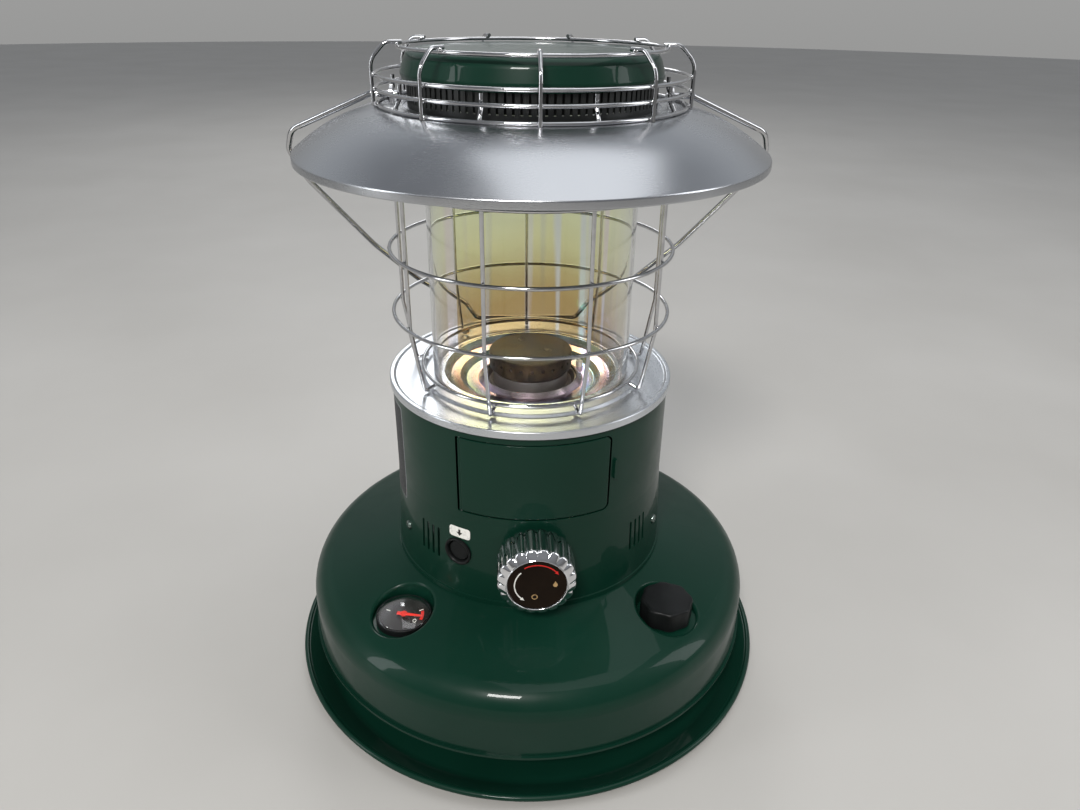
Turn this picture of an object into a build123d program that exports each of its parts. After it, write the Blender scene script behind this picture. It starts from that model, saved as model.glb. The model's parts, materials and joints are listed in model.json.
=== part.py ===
from build123d import *
import os
from math import acos, asin, cos, degrees, pi, radians, sin, sqrt, tan

# Free-standing lantern-style kerosene heater: a round fuel tank on a drip tray, a body with the wick
# drive, a glass chimney in a wire guard, a reflector shade, a heat drum and a bail handle.
# Millimetres. Origin at the middle of the tray's underside, +Z up, -Y is the front with the knob.
# An azimuth is in degrees from the front, towards +X. Wire sizes are radii.

# ---- Driving dimensions -------------------------------------------------------------------------
SHEET = 1.0

TRAY_R = 194.0
TRAY_BEAD = 2.2
TRAY_RIM_Z = 10.0
STAND_R = 152.0
STAND_WINDOWS = 6
STAND_WINDOW = 94.0
STAND_BAND = 7.0

TANK_R = 178.6
TANK_FLANGE_R = 180.6
TANK_FLOOR_Z = 29.0
TANK_SEAM_Z = 35.0
TANK_SHOULDER_Z = 83.8
TANK_TOP_Z = 104.0
TANK_TOP_R = 108.0
SHOULDER_BEND = 22.0
WELL_R = 22.6
WELL_Z = 87.0
WELL_BEND = 2.4

FILLER_AZ = 44.6
FILLER_R = 140.0
NECK_R = 14.5
NECK_TOP_Z = 94.6
CAP_R = 19.4
CAP_LOBES = 8
CAP_TOP_Z = 104.0

GAUGE_AZ = -45.3
GAUGE_R = 135.5
LENS_R = 19.2
LENS_WALL = 1.2
GAUGE_RIM_R = 20.4
LENS_RISE = 7.0
POINTER_AT_ZERO = -12.0
FLOAT_PIVOT_Z = 64.0
FLOAT_ARM = 50.0
FLOAT_DROOP = 25.0

BODY_FOOT_R = 107.4
BODY_BASE_R = 106.4
BODY_R = 103.6
BODY_TAPER_Z = 172.0
BODY_TOP_Z = 246.4
PLATE_R = 105.6
PLATE_Z = 247.6

DOOR_LOW_Z = 178.0
DOOR_HIGH_Z = 238.0
DOOR_HALF = {0: 51.0, 180: 31.0}
DOOR_GAP = 1.0
CURL_R = 1.5
CURL_INSET = 1.6
HINGE_GAP = 2.8
DOOR_PIN = 0.8

KNOB_Z = 148.0
KNOB_FACE_Y = -135.5
KNOB_BACK_Y = -107.5
KNOB_R = 27.4
KNOB_FLUTES = 20
KNOB_DISC_R = 20.3
SHAFT_R = 3.0
GEAR_MODULE = 1.0
PINION_TEETH = 12
PRESSURE_ANGLE = 20.0
BACKLASH = 0.2
RACK_ADDENDUM = 0.66
GEAR_Y = -44.0
GEAR_WIDTH = 3.0

BUTTON_AZ = -31.5
BUTTON_Z = 143.0
BUTTON_R = 8.1
BEZEL_R = 11.0
LEVER_ARM = 20.0

INNER_TUBE_R = 28.0
WICK_IN = 28.5
WICK_OUT = 31.5
CARRIER_IN = 31.8
CARRIER_OUT = 32.8
OUTER_TUBE_R = 34.8
SPREADER_R = 31.0
SPREADER_TOP_Z = 263.0
DISH_EYE_R = 35.6

GLASS_R = 73.0
GLASS_WALL = 3.0
GLASS_LOW_Z = 249.4
GLASS_TOP_Z = 434.0

GUARD_WIRE = 1.35
GUARD_WIRES = 9
GUARD_R = 96.4
GUARD_RING_HEIGHTS = (298.1, 343.5, 390.0)
BASE_RING_R = 80.4
BASE_RING_Z = 254.9
FOOT_R = 88.0
STUB_R = 93.2
STUB_TOP_Z = 452.0

SHADE_R = 156.0
SHADE_LIP_Z = 404.0
SHADE_EDGE_Z = 409.0
NECK_PLATE_R = 102.5
NECK_PLATE_Z = 436.3
SHADE_SHEET = 0.9
COLLAR_R = 74.4
DRUM_R = 81.0
DRUM_TOP_Z = 463.0
DRUM_SLITS = 108
DRUM_SLIT = 1.6
TOP_CAP_R = 84.8
TOP_CAP_Z = 469.6

CROWN_WIRE = 1.2
CROWN_R = 102.2
CROWN_RING_HEIGHTS = (437.6, 446.6, 454.8)
CROWN_TOP_RING_R = 85.4
CROWN_TIP_Z = 473.2

HANDLE_WIRE = 2.0
HANDLE_Z = 441.8
HANDLE_REACH = 223.0
BRACKET_X = 91.0


def at(radius, azimuth, height):
    """Point at a radius and an azimuth from the front."""
    turn = radians(azimuth)
    return Vector(radius * sin(turn), -radius * cos(turn), height)


def facing(radius, azimuth, height):
    """Plane whose normal points straight out of the body, with its Y up."""
    turn = radians(azimuth)
    return Plane(
        origin=at(radius, azimuth, height),
        x_dir=(cos(turn), sin(turn), 0),
        z_dir=(sin(turn), -cos(turn), 0),
    )


def radial_plane(azimuth):
    """Plane with X outwards at this azimuth and Y up."""
    turn = radians(azimuth)
    return Plane(origin=(0, 0, 0), x_dir=(sin(turn), -cos(turn), 0), z_dir=(-cos(turn), -sin(turn), 0))


def pressed_section(points, bends, gauge=SHEET):
    """Half section of a spun or pressed sheet: its line, thickened to the left."""
    with BuildSketch(Plane.XZ) as section:
        with BuildLine():
            FilletPolyline(*points, radius=bends)
            offset(amount=gauge, side=Side.LEFT)
        make_face()
    return section.sketch


def filled_section(points):
    """Half section of a turned solid."""
    with BuildSketch(Plane.XZ) as section:
        with BuildLine():
            Polyline(*points, close=True)
        make_face()
    return section.sketch


def tube_section(outer, inner, low, high):
    """Half section of a plain tube."""
    return filled_section([(inner, low), (outer, low), (outer, high), (inner, high)])


def wire_ring(radius, height, wire):
    """Half section of a ring bent from round wire."""
    with BuildSketch(Plane.XZ) as section:
        with Locations((radius, height)):
            Circle(wire)
    return section.sketch


def finish(piece, label):
    """Names a finished piece and writes it."""
    piece.part.label = label
    export_step(piece.part, f"parts/{label}.step")


os.makedirs("parts", exist_ok=True)

# ---- Drip tray and stand ------------------------------------------------------------------------
with BuildPart() as drip_tray:
    revolve(pressed_section([(0, 0), (174, 0), (189.8, TRAY_RIM_Z)], 14), axis=Axis.Z)
    revolve(wire_ring(TRAY_R - TRAY_BEAD, TRAY_RIM_Z, TRAY_BEAD), axis=Axis.Z)
finish(drip_tray, "drip_tray")

# A band on six feet carries the tank, and the burner's air comes in between the feet.
with BuildPart() as stand_ring:
    revolve(tube_section(STAND_R, STAND_R - 1.5, SHEET, TANK_FLOOR_Z), axis=Axis.Z)
    with BuildSketch(Plane.XY):
        with PolarLocations(STAND_R, STAND_WINDOWS):
            Rectangle(30, STAND_WINDOW)
    extrude(amount=TANK_FLOOR_Z - STAND_BAND, mode=Mode.SUBTRACT)
finish(stand_ring, "stand_ring")

# ---- Fuel tank ----------------------------------------------------------------------------------
with BuildPart() as tank_lower_shell:
    revolve(
        pressed_section(
            [(INNER_TUBE_R, TANK_FLOOR_Z), (166, TANK_FLOOR_Z), (175, TANK_SEAM_Z - SHEET),
             (TANK_FLANGE_R, TANK_SEAM_Z - SHEET)],
            2,
        ),
        axis=Axis.Z,
    )
finish(tank_lower_shell, "tank_lower_shell")


def tank_profile(inset):
    """Outline of the upper shell's solid, set in by the sheet for its hollow."""
    wall = TANK_R - inset
    low = TANK_SEAM_Z - inset
    top = TANK_TOP_Z - inset
    with BuildSketch(Plane.XZ) as section:
        with BuildLine():
            Line((0, low), (wall, low))
            FilletPolyline(
                (wall, low), (wall, TANK_SHOULDER_Z - inset * 0.75), (TANK_TOP_R, top), (0, top),
                radius=[SHOULDER_BEND - inset, 4.0],
            )
            Line((0, top), (0, low))
        make_face()
    return section.sketch


TANK_SHEET = 1.2
WELL_WALL = 1.6
well_places = [at(FILLER_R, FILLER_AZ, WELL_Z), at(GAUGE_R, GAUGE_AZ, WELL_Z)]

with BuildPart() as tank_hollow:
    revolve(tank_profile(TANK_SHEET), axis=Axis.Z)
    with BuildSketch(Plane.XY.offset(WELL_Z - TANK_SHEET)):
        with Locations(*[(spot.X, spot.Y) for spot in well_places]):
            Circle(WELL_R + WELL_WALL)
    extrude(amount=40, mode=Mode.SUBTRACT)

with BuildPart() as tank_upper_shell:
    revolve(tank_profile(0), axis=Axis.Z)
    with BuildSketch(Plane.XY.offset(WELL_Z)):
        with Locations(*[(spot.X, spot.Y) for spot in well_places]):
            Circle(WELL_R)
    extrude(amount=40, mode=Mode.SUBTRACT)
    mouths = tank_upper_shell.edges().filter_by(
        lambda edge: edge.bounding_box().size.Z > 8 and edge.bounding_box().size.X < 2.2 * WELL_R
        and edge.bounding_box().size.X > 1.8 * WELL_R
    )
    fillet(mouths, radius=WELL_BEND)
    add(tank_hollow.part, mode=Mode.SUBTRACT)
    revolve(tube_section(TANK_FLANGE_R, TANK_R - 1, TANK_SEAM_Z, TANK_SEAM_Z + SHEET), axis=Axis.Z)
    with BuildSketch(Plane.XY.offset(TANK_TOP_Z - 5)):
        Circle(OUTER_TUBE_R)
    extrude(amount=10, mode=Mode.SUBTRACT)
    with BuildSketch(Plane.XY.offset(WELL_Z - 5)):
        with Locations((well_places[0].X, well_places[0].Y)):
            Circle(NECK_R)
        with Locations((well_places[1].X, well_places[1].Y)):
            Circle(15.5)
    extrude(amount=10, mode=Mode.SUBTRACT)
finish(tank_upper_shell, "tank_upper_shell")

# ---- Filler -------------------------------------------------------------------------------------
filler_plane = Plane(at(FILLER_R, FILLER_AZ, 0))

with BuildPart() as filler_neck:
    with BuildSketch(filler_plane.offset(80)):
        Circle(NECK_R)
        Circle(NECK_R - 1.5, mode=Mode.SUBTRACT)
    extrude(amount=NECK_TOP_Z - 0.6 - 80)
finish(filler_neck, "filler_neck")

with BuildPart() as filler_strainer:
    with BuildSketch(filler_plane.offset(42)):
        Circle(12.6)
    extrude(amount=NECK_TOP_Z - 42)
    with BuildSketch(filler_plane.offset(42.8)):
        Circle(11.8)
    extrude(amount=NECK_TOP_Z - 42.8, mode=Mode.SUBTRACT)
    with BuildSketch(filler_plane.offset(NECK_TOP_Z - 0.6)):
        Circle(NECK_R)
        Circle(11.8, mode=Mode.SUBTRACT)
    extrude(amount=0.6)
finish(filler_strainer, "filler_strainer")

with BuildPart() as filler_gasket:
    with BuildSketch(filler_plane.offset(NECK_TOP_Z)):
        Circle(14.6)
        Circle(8.5, mode=Mode.SUBTRACT)
    extrude(amount=2)
finish(filler_gasket, "filler_gasket")

with BuildPart() as filler_cap:
    with BuildSketch(filler_plane.offset(WELL_Z + 1.2)):
        Circle(CAP_R - 1.2)
        with PolarLocations(CAP_R - 7.4, CAP_LOBES):
            Circle(7.4)
    extrude(amount=CAP_TOP_Z - WELL_Z - 1.2)
    fillet(filler_cap.faces().sort_by(Axis.Z)[-1].edges(), radius=1.4)
    with BuildSketch(filler_plane.offset(WELL_Z + 1.2)):
        Circle(15.1)
    extrude(amount=NECK_TOP_Z + 2 - WELL_Z - 1.2, mode=Mode.SUBTRACT)
finish(filler_cap, "filler_cap")

# ---- Fuel gauge ---------------------------------------------------------------------------------
gauge_plane = Plane(at(GAUGE_R, GAUGE_AZ, 0))
GAUGE_FLOOR_Z = 72.0

with BuildPart() as gauge_housing:
    with BuildSketch(gauge_plane.offset(GAUGE_FLOOR_Z)):
        Circle(15.5)
    extrude(amount=WELL_Z - GAUGE_FLOOR_Z)
    with BuildSketch(gauge_plane.offset(WELL_Z)):
        Circle(GAUGE_RIM_R)
    extrude(amount=1.6)
    with BuildSketch(gauge_plane.offset(GAUGE_FLOOR_Z + 1.5)):
        Circle(14)
    extrude(amount=30, mode=Mode.SUBTRACT)
    with BuildSketch(gauge_plane.offset(GAUGE_FLOOR_Z)):
        Circle(1.6)
    extrude(amount=2, mode=Mode.SUBTRACT)
    # Two ears under the housing carry the float arm's pivot.
    arm_plane = Plane(at(GAUGE_R, GAUGE_AZ, FLOAT_PIVOT_Z - 4), x_dir=at(1, GAUGE_AZ, 0), z_dir=(0, 0, 1))
    with BuildSketch(arm_plane):
        with Locations((-5, 0), (5, 0)):
            Rectangle(2, 8)
    extrude(amount=GAUGE_FLOOR_Z - FLOAT_PIVOT_Z + 4)
    with BuildSketch(Plane(at(GAUGE_R - 10, GAUGE_AZ, FLOAT_PIVOT_Z), z_dir=at(1, GAUGE_AZ, 0))):
        Circle(1.55)
    extrude(amount=20, mode=Mode.SUBTRACT)
finish(gauge_housing, "gauge_housing")

with BuildPart() as gauge_dial:
    with BuildSketch(gauge_plane.offset(WELL_Z + 1.6)):
        Circle(LENS_R - LENS_WALL - 0.1)
        Circle(1.6, mode=Mode.SUBTRACT)
    extrude(amount=0.8)
finish(gauge_dial, "gauge_dial")

pointer_plane = Plane(at(GAUGE_R, GAUGE_AZ, 0)).rotated((0, 0, POINTER_AT_ZERO))
with BuildPart() as gauge_pointer:
    with BuildSketch(pointer_plane.offset(WELL_Z + 3.4)):
        Circle(2.6)
        with BuildLine():
            Polyline((-5, -1.4), (13.5, -0.5), (13.5, 0.5), (-5, 1.4), close=True)
        make_face()
    extrude(amount=0.8)
    with BuildSketch(pointer_plane.offset(GAUGE_FLOOR_Z - 3)):
        Circle(1.52)
    extrude(amount=WELL_Z + 3.8 - GAUGE_FLOOR_Z + 3)
finish(gauge_pointer, "gauge_pointer")

with BuildPart() as gauge_bezel:
    with BuildSketch(gauge_plane.offset(WELL_Z + 1.6)):
        Circle(GAUGE_RIM_R)
        Circle(LENS_R, mode=Mode.SUBTRACT)
    extrude(amount=3.4)
    fillet(gauge_bezel.faces().sort_by(Axis.Z)[-1].edges().sort_by(SortBy.LENGTH)[-1], radius=0.8)
finish(gauge_bezel, "gauge_bezel")

lens_ball = (LENS_R**2 + LENS_RISE**2) / (2 * LENS_RISE)
lens_plane = Plane(at(GAUGE_R, GAUGE_AZ, WELL_Z + 5.0), x_dir=(1, 0, 0), z_dir=(0, -1, 0))


def lens_point(radius, ball):
    """Point of the dome's section, on a ball about the same centre."""
    return (radius, LENS_RISE - lens_ball + sqrt(ball**2 - radius**2))


with BuildPart() as gauge_lens:
    inner_ball = lens_ball - LENS_WALL
    inner_edge = lens_point(LENS_R - LENS_WALL, inner_ball)
    with BuildSketch(lens_plane):
        with BuildLine():
            Line(lens_point(0, inner_ball), lens_point(0, lens_ball))
            ThreePointArc(lens_point(0, lens_ball), lens_point(LENS_R / 2, lens_ball), (LENS_R, 0))
            Polyline((LENS_R, 0), (LENS_R, -3.4), (LENS_R - LENS_WALL, -3.4), inner_edge)
            ThreePointArc(inner_edge, lens_point(LENS_R / 2, inner_ball), lens_point(0, inner_ball))
        make_face()
    revolve(axis=Axis(at(GAUGE_R, GAUGE_AZ, 0), (0, 0, 1)))
finish(gauge_lens, "gauge_lens")

# The arm hangs on the housing's ears and runs round the tank, away from the filler.
arm_dir = at(1, GAUGE_AZ - 90, 0)
arm_side = Plane(at(GAUGE_R, GAUGE_AZ, FLOAT_PIVOT_Z), x_dir=arm_dir, z_dir=at(1, GAUGE_AZ, 0))
float_spot = (FLOAT_ARM * cos(radians(FLOAT_DROOP)), FLOAT_ARM * sin(radians(FLOAT_DROOP)))

with BuildPart() as float_arm:
    with BuildSketch(arm_side.offset(-3.4)):
        Circle(3.2)
        with BuildLine():
            arm_line = Line((0, 0), float_spot)
            offset(amount=1.3)
        make_face()
    extrude(amount=6.8)
    with BuildSketch(arm_side.offset(-6.4)):
        Circle(1.5)
    extrude(amount=12.8)
finish(float_arm, "float_arm")

with BuildPart() as fuel_float:
    with BuildSketch(arm_side.offset(-12)):
        with Locations(float_spot):
            Circle(8)
    extrude(amount=24)
    fillet(fuel_float.edges(), radius=1.5)
    add(float_arm.part, mode=Mode.SUBTRACT)
finish(fuel_float, "fuel_float")

# ---- Body shell ---------------------------------------------------------------------------------
SHELL_IN = BODY_R - SHEET
CURL_CENTRE_R = BODY_R - CURL_INSET
VENT_GROUPS = (-125, -46, 48, 125)
VENT_Z = 143.5
SCREW_AZIMUTHS = (-150, -63, 64, 150)
SCREW_Z = 137.0


def door_face(azimuth, left, right, low, high, left_bend, right_bend):
    """Outline of a door or its opening, seen from outside."""
    with BuildSketch(facing(120, azimuth, 0)) as section:
        with Locations(((left + right) / 2, (low + high) / 2)):
            Rectangle(right - left, high - low)
        fillet(section.vertices().group_by(Axis.X)[0], left_bend)
        fillet(section.vertices().group_by(Axis.X)[-1], right_bend)
    return section.sketch


def curl_azimuth(azimuth):
    """Azimuth of a door's hinge line, on its left seen from outside."""
    return azimuth - degrees(asin(DOOR_HALF[azimuth] / CURL_CENTRE_R))


def body_radius(height):
    """Outer radius of the body shell."""
    lift = max(0.0, BODY_TAPER_Z - height) / (BODY_TAPER_Z - TANK_TOP_Z - 3.9)
    return BODY_R + (BODY_BASE_R - BODY_R) * lift


with BuildPart() as body_shell:
    revolve(
        filled_section([
            (98, TANK_TOP_Z), (BODY_FOOT_R, TANK_TOP_Z), (BODY_FOOT_R, TANK_TOP_Z + 3.6),
            (BODY_BASE_R, TANK_TOP_Z + 3.9), (BODY_R, BODY_TAPER_Z), (BODY_R, BODY_TOP_Z),
            (SHELL_IN, BODY_TOP_Z), (SHELL_IN, BODY_TAPER_Z), (BODY_BASE_R - SHEET, TANK_TOP_Z + 1),
            (98, TANK_TOP_Z + 1),
        ]),
        axis=Axis.Z,
    )
    for azimuth, half in DOOR_HALF.items():
        hinge = curl_azimuth(azimuth)
        for low in (DOOR_LOW_Z - 5, DOOR_HIGH_Z):
            with BuildSketch(Plane(at(SHELL_IN - 1.3, hinge, low), x_dir=at(1, hinge, 0))):
                Rectangle(3.6, 5)
            extrude(amount=5)
        with BuildSketch(Plane(at(CURL_CENTRE_R, hinge, DOOR_LOW_Z - 4))):
            Circle(DOOR_PIN)
        extrude(amount=DOOR_HIGH_Z - DOOR_LOW_Z + 8, mode=Mode.SUBTRACT)
        extrude(
            door_face(azimuth, -half - HINGE_GAP, half + DOOR_GAP, DOOR_LOW_Z, DOOR_HIGH_Z, 1.2, 5),
            amount=-60, mode=Mode.SUBTRACT,
        )
    for middle in VENT_GROUPS:
        for step in (-1.5, -0.5, 0.5, 1.5):
            with BuildSketch(facing(90, middle + 3.1 * step, VENT_Z)):
                SlotOverall(25, 2.2, rotation=90)
            extrude(amount=30, mode=Mode.SUBTRACT)
    for azimuth in SCREW_AZIMUTHS:
        with BuildSketch(facing(90, azimuth, SCREW_Z)):
            Circle(1.8)
        extrude(amount=30, mode=Mode.SUBTRACT)
    with BuildSketch(facing(90, BUTTON_AZ, BUTTON_Z)):
        Circle(BEZEL_R - 1.4)
    extrude(amount=30, mode=Mode.SUBTRACT)
    with BuildSketch(facing(90, 0, KNOB_Z)):
        Circle(6)
    extrude(amount=30, mode=Mode.SUBTRACT)
finish(body_shell, "body_shell")

with BuildPart() as body_screws:
    for azimuth in SCREW_AZIMUTHS:
        seat = body_radius(SCREW_Z)
        with BuildSketch(facing(seat, azimuth, SCREW_Z)):
            Circle(3.6)
        extrude(amount=2.1)
        with BuildSketch(facing(seat - 7, azimuth, SCREW_Z)):
            Circle(1.8)
        extrude(amount=8)
        with BuildSketch(facing(seat + 1.2, azimuth, SCREW_Z)):
            Rectangle(4.4, 0.9)
            Rectangle(0.9, 4.4)
        extrude(amount=2, mode=Mode.SUBTRACT)
    add(body_shell.part, mode=Mode.SUBTRACT)
finish(body_screws, "body_screws")

with BuildPart() as top_plate:
    revolve(
        pressed_section(
            [(PLATE_R, 243.4), (PLATE_R, 248.8), (102.6, 248.8), (101, PLATE_Z), (83.4, PLATE_Z),
             (81.4, GLASS_LOW_Z), (69, GLASS_LOW_Z)],
            1.3,
        ),
        axis=Axis.Z,
    )
finish(top_plate, "top_plate")


def make_door(azimuth, label):
    """A curved door with a rolled edge that turns on a pin."""
    half = DOOR_HALF[azimuth]
    low = DOOR_LOW_Z + DOOR_GAP
    high = DOOR_HIGH_Z - DOOR_GAP
    hinge = curl_azimuth(azimuth)
    with BuildPart() as door:
        revolve(tube_section(BODY_R, SHELL_IN, low, high), axis=Axis.Z)
        extrude(door_face(azimuth, -half, half, low, high, 0.2, 4), amount=-60, mode=Mode.INTERSECT)
        with BuildSketch(Plane(at(CURL_CENTRE_R, hinge, low))):
            Circle(CURL_R)
        extrude(amount=high - low)
        with BuildSketch(Plane(at(CURL_CENTRE_R, hinge, low))):
            Circle(DOOR_PIN + 0.06)
        extrude(amount=high - low, mode=Mode.SUBTRACT)
    finish(door, label)


make_door(0, "front_hatch")
make_door(180, "battery_lid")

with BuildPart() as door_hinge_pins:
    for azimuth in DOOR_HALF:
        with BuildSketch(Plane(at(CURL_CENTRE_R, curl_azimuth(azimuth), DOOR_LOW_Z - 4))):
            Circle(DOOR_PIN)
        extrude(amount=DOOR_HIGH_Z - DOOR_LOW_Z + 8)
finish(door_hinge_pins, "door_hinge_pins")

# A small sprung tab beside the front hatch holds its free edge.
with BuildPart() as hatch_catch:
    with BuildSketch(facing(BODY_R - 0.4, 32.2, 210)):
        RectangleRounded(2.6, 16, 1.2)
    extrude(amount=2.2)
    add(body_shell.part, mode=Mode.SUBTRACT)
finish(hatch_catch, "hatch_catch")

# ---- Battery ------------------------------------------------------------------------------------
CASE_HALF = 28.0
CELL_R = 12.8

with BuildPart() as battery_case:
    with BuildSketch(Plane.XY.offset(180)):
        with Locations((0, 72)):
            Rectangle(2 * CASE_HALF, 64)
    extrude(amount=52)
    with BuildSketch(Plane.XY.offset(181)):
        with Locations((0, 74)):
            Rectangle(2 * CASE_HALF - 2, 66)
    extrude(amount=50, mode=Mode.SUBTRACT)
    with BuildSketch(Plane.XY.offset(180)):
        Circle(SHELL_IN - 0.4)
    extrude(amount=52, mode=Mode.INTERSECT)
    with BuildSketch(Plane.XY.offset(232)):
        with Locations((-18, 88), (18, 88)):
            Rectangle(8, 1.5)
    extrude(amount=PLATE_Z - SHEET - 232)
finish(battery_case, "battery_case")

with BuildPart() as battery_cells:
    with BuildSketch(Plane.XY.offset(181.4)):
        with Locations((-13.1, 81.6), (13.1, 81.6), (-13.1, 55.4), (13.1, 55.4)):
            Circle(CELL_R)
    extrude(amount=47)
    with BuildSketch(Plane.XY.offset(228.4)):
        with Locations((-13.1, 81.6), (13.1, 81.6), (-13.1, 55.4), (13.1, 55.4)):
            Circle(3)
    extrude(amount=1.8)
finish(battery_cells, "battery_cells")

# ---- Burner -------------------------------------------------------------------------------------
with BuildPart() as inner_wick_tube:
    revolve(tube_section(INNER_TUBE_R, INNER_TUBE_R - 1, 14, 247), axis=Axis.Z)
finish(inner_wick_tube, "inner_wick_tube")

SLOT_LOW_Z = 130.0
SLOT_HIGH_Z = 160.0
with BuildPart() as outer_wick_tube:
    revolve(tube_section(OUTER_TUBE_R, OUTER_TUBE_R - 1, 62, 241), axis=Axis.Z)
    revolve(tube_section(50, OUTER_TUBE_R - 1, TANK_TOP_Z, TANK_TOP_Z + 1.5), axis=Axis.Z)
    with BuildSketch(Plane.XY.offset(SLOT_LOW_Z)):
        with Locations((-10, -34)):
            Rectangle(5, 14)
    extrude(amount=SLOT_HIGH_Z - SLOT_LOW_Z, mode=Mode.SUBTRACT)
    with BuildSketch(Plane.XY.offset(70)):
        with PolarLocations(OUTER_TUBE_R, 8):
            Rectangle(8, 9)
    extrude(amount=14, mode=Mode.SUBTRACT)
finish(outer_wick_tube, "outer_wick_tube")

with BuildPart() as wick:
    revolve(tube_section(WICK_OUT, WICK_IN, 45, 238), axis=Axis.Z)
finish(wick, "wick")

# The wick rides in a thin ring with a rack on its left, which the pinion lifts.
PITCH_R = GEAR_MODULE * PINION_TEETH / 2
RACK_LINE_X = -PITCH_R
RACK_LOW_Z = 130.5
RACK_HIGH_Z = 155.5


def rack_tooth(centre):
    """Outline of one straight-sided tooth, with its tip towards +X."""
    slope = tan(radians(PRESSURE_ANGLE))
    half = pi * GEAR_MODULE / 4 - BACKLASH / 2
    tip = RACK_ADDENDUM * GEAR_MODULE
    root = 1.3 * GEAR_MODULE
    upper = [
        (RACK_LINE_X + tip, half - tip * slope),
        (RACK_LINE_X - root, half + root * slope),
        (RACK_LINE_X - root - 0.2, half + root * slope),
    ]
    return [(x, centre + z) for x, z in upper] + [(x, centre - z) for x, z in reversed(upper)]


with BuildPart() as wick_carrier:
    revolve(tube_section(CARRIER_OUT, CARRIER_IN, 124, 150), axis=Axis.Z)
    with BuildSketch(Plane(origin=(0, GEAR_Y + GEAR_WIDTH, 0), x_dir=(1, 0, 0), z_dir=(0, -1, 0))):
        with Locations((RACK_LINE_X - 3.3, (RACK_LOW_Z + RACK_HIGH_Z) / 2)):
            Rectangle(4, RACK_HIGH_Z - RACK_LOW_Z)
        for count in range(-5, 2):
            with BuildLine():
                Polyline(*rack_tooth(KNOB_Z + pi * GEAR_MODULE * (count + 0.5)), close=True)
            make_face()
    extrude(amount=GEAR_WIDTH)
    with BuildSketch(Plane.XY.offset(134)):
        with Locations((-10, -35.9)):
            Rectangle(1.6, 10.4)
    extrude(amount=11)
finish(wick_carrier, "wick_carrier")


def involute(angle):
    return tan(angle) - angle


def pinion_outline():
    """Involute pinion, one tooth at a time, from its root circle to its tip circle."""
    pressure = radians(PRESSURE_ANGLE)
    base = PITCH_R * cos(pressure)
    root = PITCH_R - 1.1 * GEAR_MODULE
    tip = PITCH_R + 0.9 * GEAR_MODULE
    half_pitch = pi / (2 * PINION_TEETH) - BACKLASH / (4 * PITCH_R)
    radii = [root] + [base + (tip - base) * step / 4 for step in range(5)]

    def half_width(radius):
        return half_pitch + involute(pressure) - involute(acos(min(1.0, base / max(base, radius))))

    points = []
    for tooth in range(PINION_TEETH):
        middle = 2 * pi * tooth / PINION_TEETH
        for radius in radii:
            points.append((radius * cos(middle - half_width(radius)), radius * sin(middle - half_width(radius))))
        for radius in reversed(radii):
            points.append((radius * cos(middle + half_width(radius)), radius * sin(middle + half_width(radius))))
    return points


def shaft_plane(y):
    """Plane across the knob's shaft, seen from the front."""
    return Plane(origin=(0, y, KNOB_Z), x_dir=(1, 0, 0), z_dir=(0, -1, 0))


with BuildPart() as pinion:
    with BuildSketch(shaft_plane(GEAR_Y + GEAR_WIDTH)):
        with BuildLine():
            Polyline(*pinion_outline(), close=True)
        make_face()
        Circle(SHAFT_R, mode=Mode.SUBTRACT)
    extrude(amount=GEAR_WIDTH)
finish(pinion, "pinion")

with BuildPart() as knob_shaft:
    with BuildSketch(shaft_plane(-39)):
        Circle(SHAFT_R)
    extrude(amount=-KNOB_FACE_Y - 39 - 6)
finish(knob_shaft, "knob_shaft")

with BuildPart() as gear_housing:
    with BuildSketch(Plane.XY.offset(124)):
        with Locations((-2.5, -41)):
            Rectangle(27, 20)
    extrude(amount=50)
    with BuildSketch(Plane.XY.offset(125)):
        with Locations((-2.5, -40)):
            Rectangle(25, 20)
    extrude(amount=48, mode=Mode.SUBTRACT)
    with BuildSketch(Plane.XY.offset(124)):
        Circle(OUTER_TUBE_R)
    extrude(amount=50, mode=Mode.SUBTRACT)
    with BuildSketch(shaft_plane(-45)):
        Circle(SHAFT_R + 0.5)
    extrude(amount=10, mode=Mode.SUBTRACT)
finish(gear_housing, "gear_housing")

with BuildPart() as shaft_bush:
    with BuildSketch(shaft_plane(-51)):
        RegularPolygon(7, 6)
    extrude(amount=5)
    with BuildSketch(shaft_plane(-56)):
        Circle(5)
    extrude(amount=4)
    with BuildSketch(shaft_plane(-51)):
        Circle(SHAFT_R + 0.06)
    extrude(amount=9, mode=Mode.SUBTRACT)
finish(shaft_bush, "shaft_bush")

with BuildPart() as ratchet_wheel:
    with BuildSketch(shaft_plane(-88)):
        with BuildLine():
            Polyline(*[
                (radius * cos(2 * pi * (tooth + share) / 16), radius * sin(2 * pi * (tooth + share) / 16))
                for tooth in range(16) for radius, share in ((6.6, 0.0), (8.0, 0.85))
            ], close=True)
        make_face()
        Circle(SHAFT_R, mode=Mode.SUBTRACT)
    extrude(amount=2)
finish(ratchet_wheel, "ratchet_wheel")

with BuildPart() as return_spring:
    with BuildLine() as spring_line:
        Helix(pitch=2.2, height=15.4, radius=5.2, center=(0, -84, KNOB_Z), direction=(0, 1, 0))
    with BuildSketch(Plane(origin=spring_line.line @ 0, z_dir=spring_line.line % 0)):
        Circle(0.6)
    sweep(is_frenet=True)
finish(return_spring, "return_spring")

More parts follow.
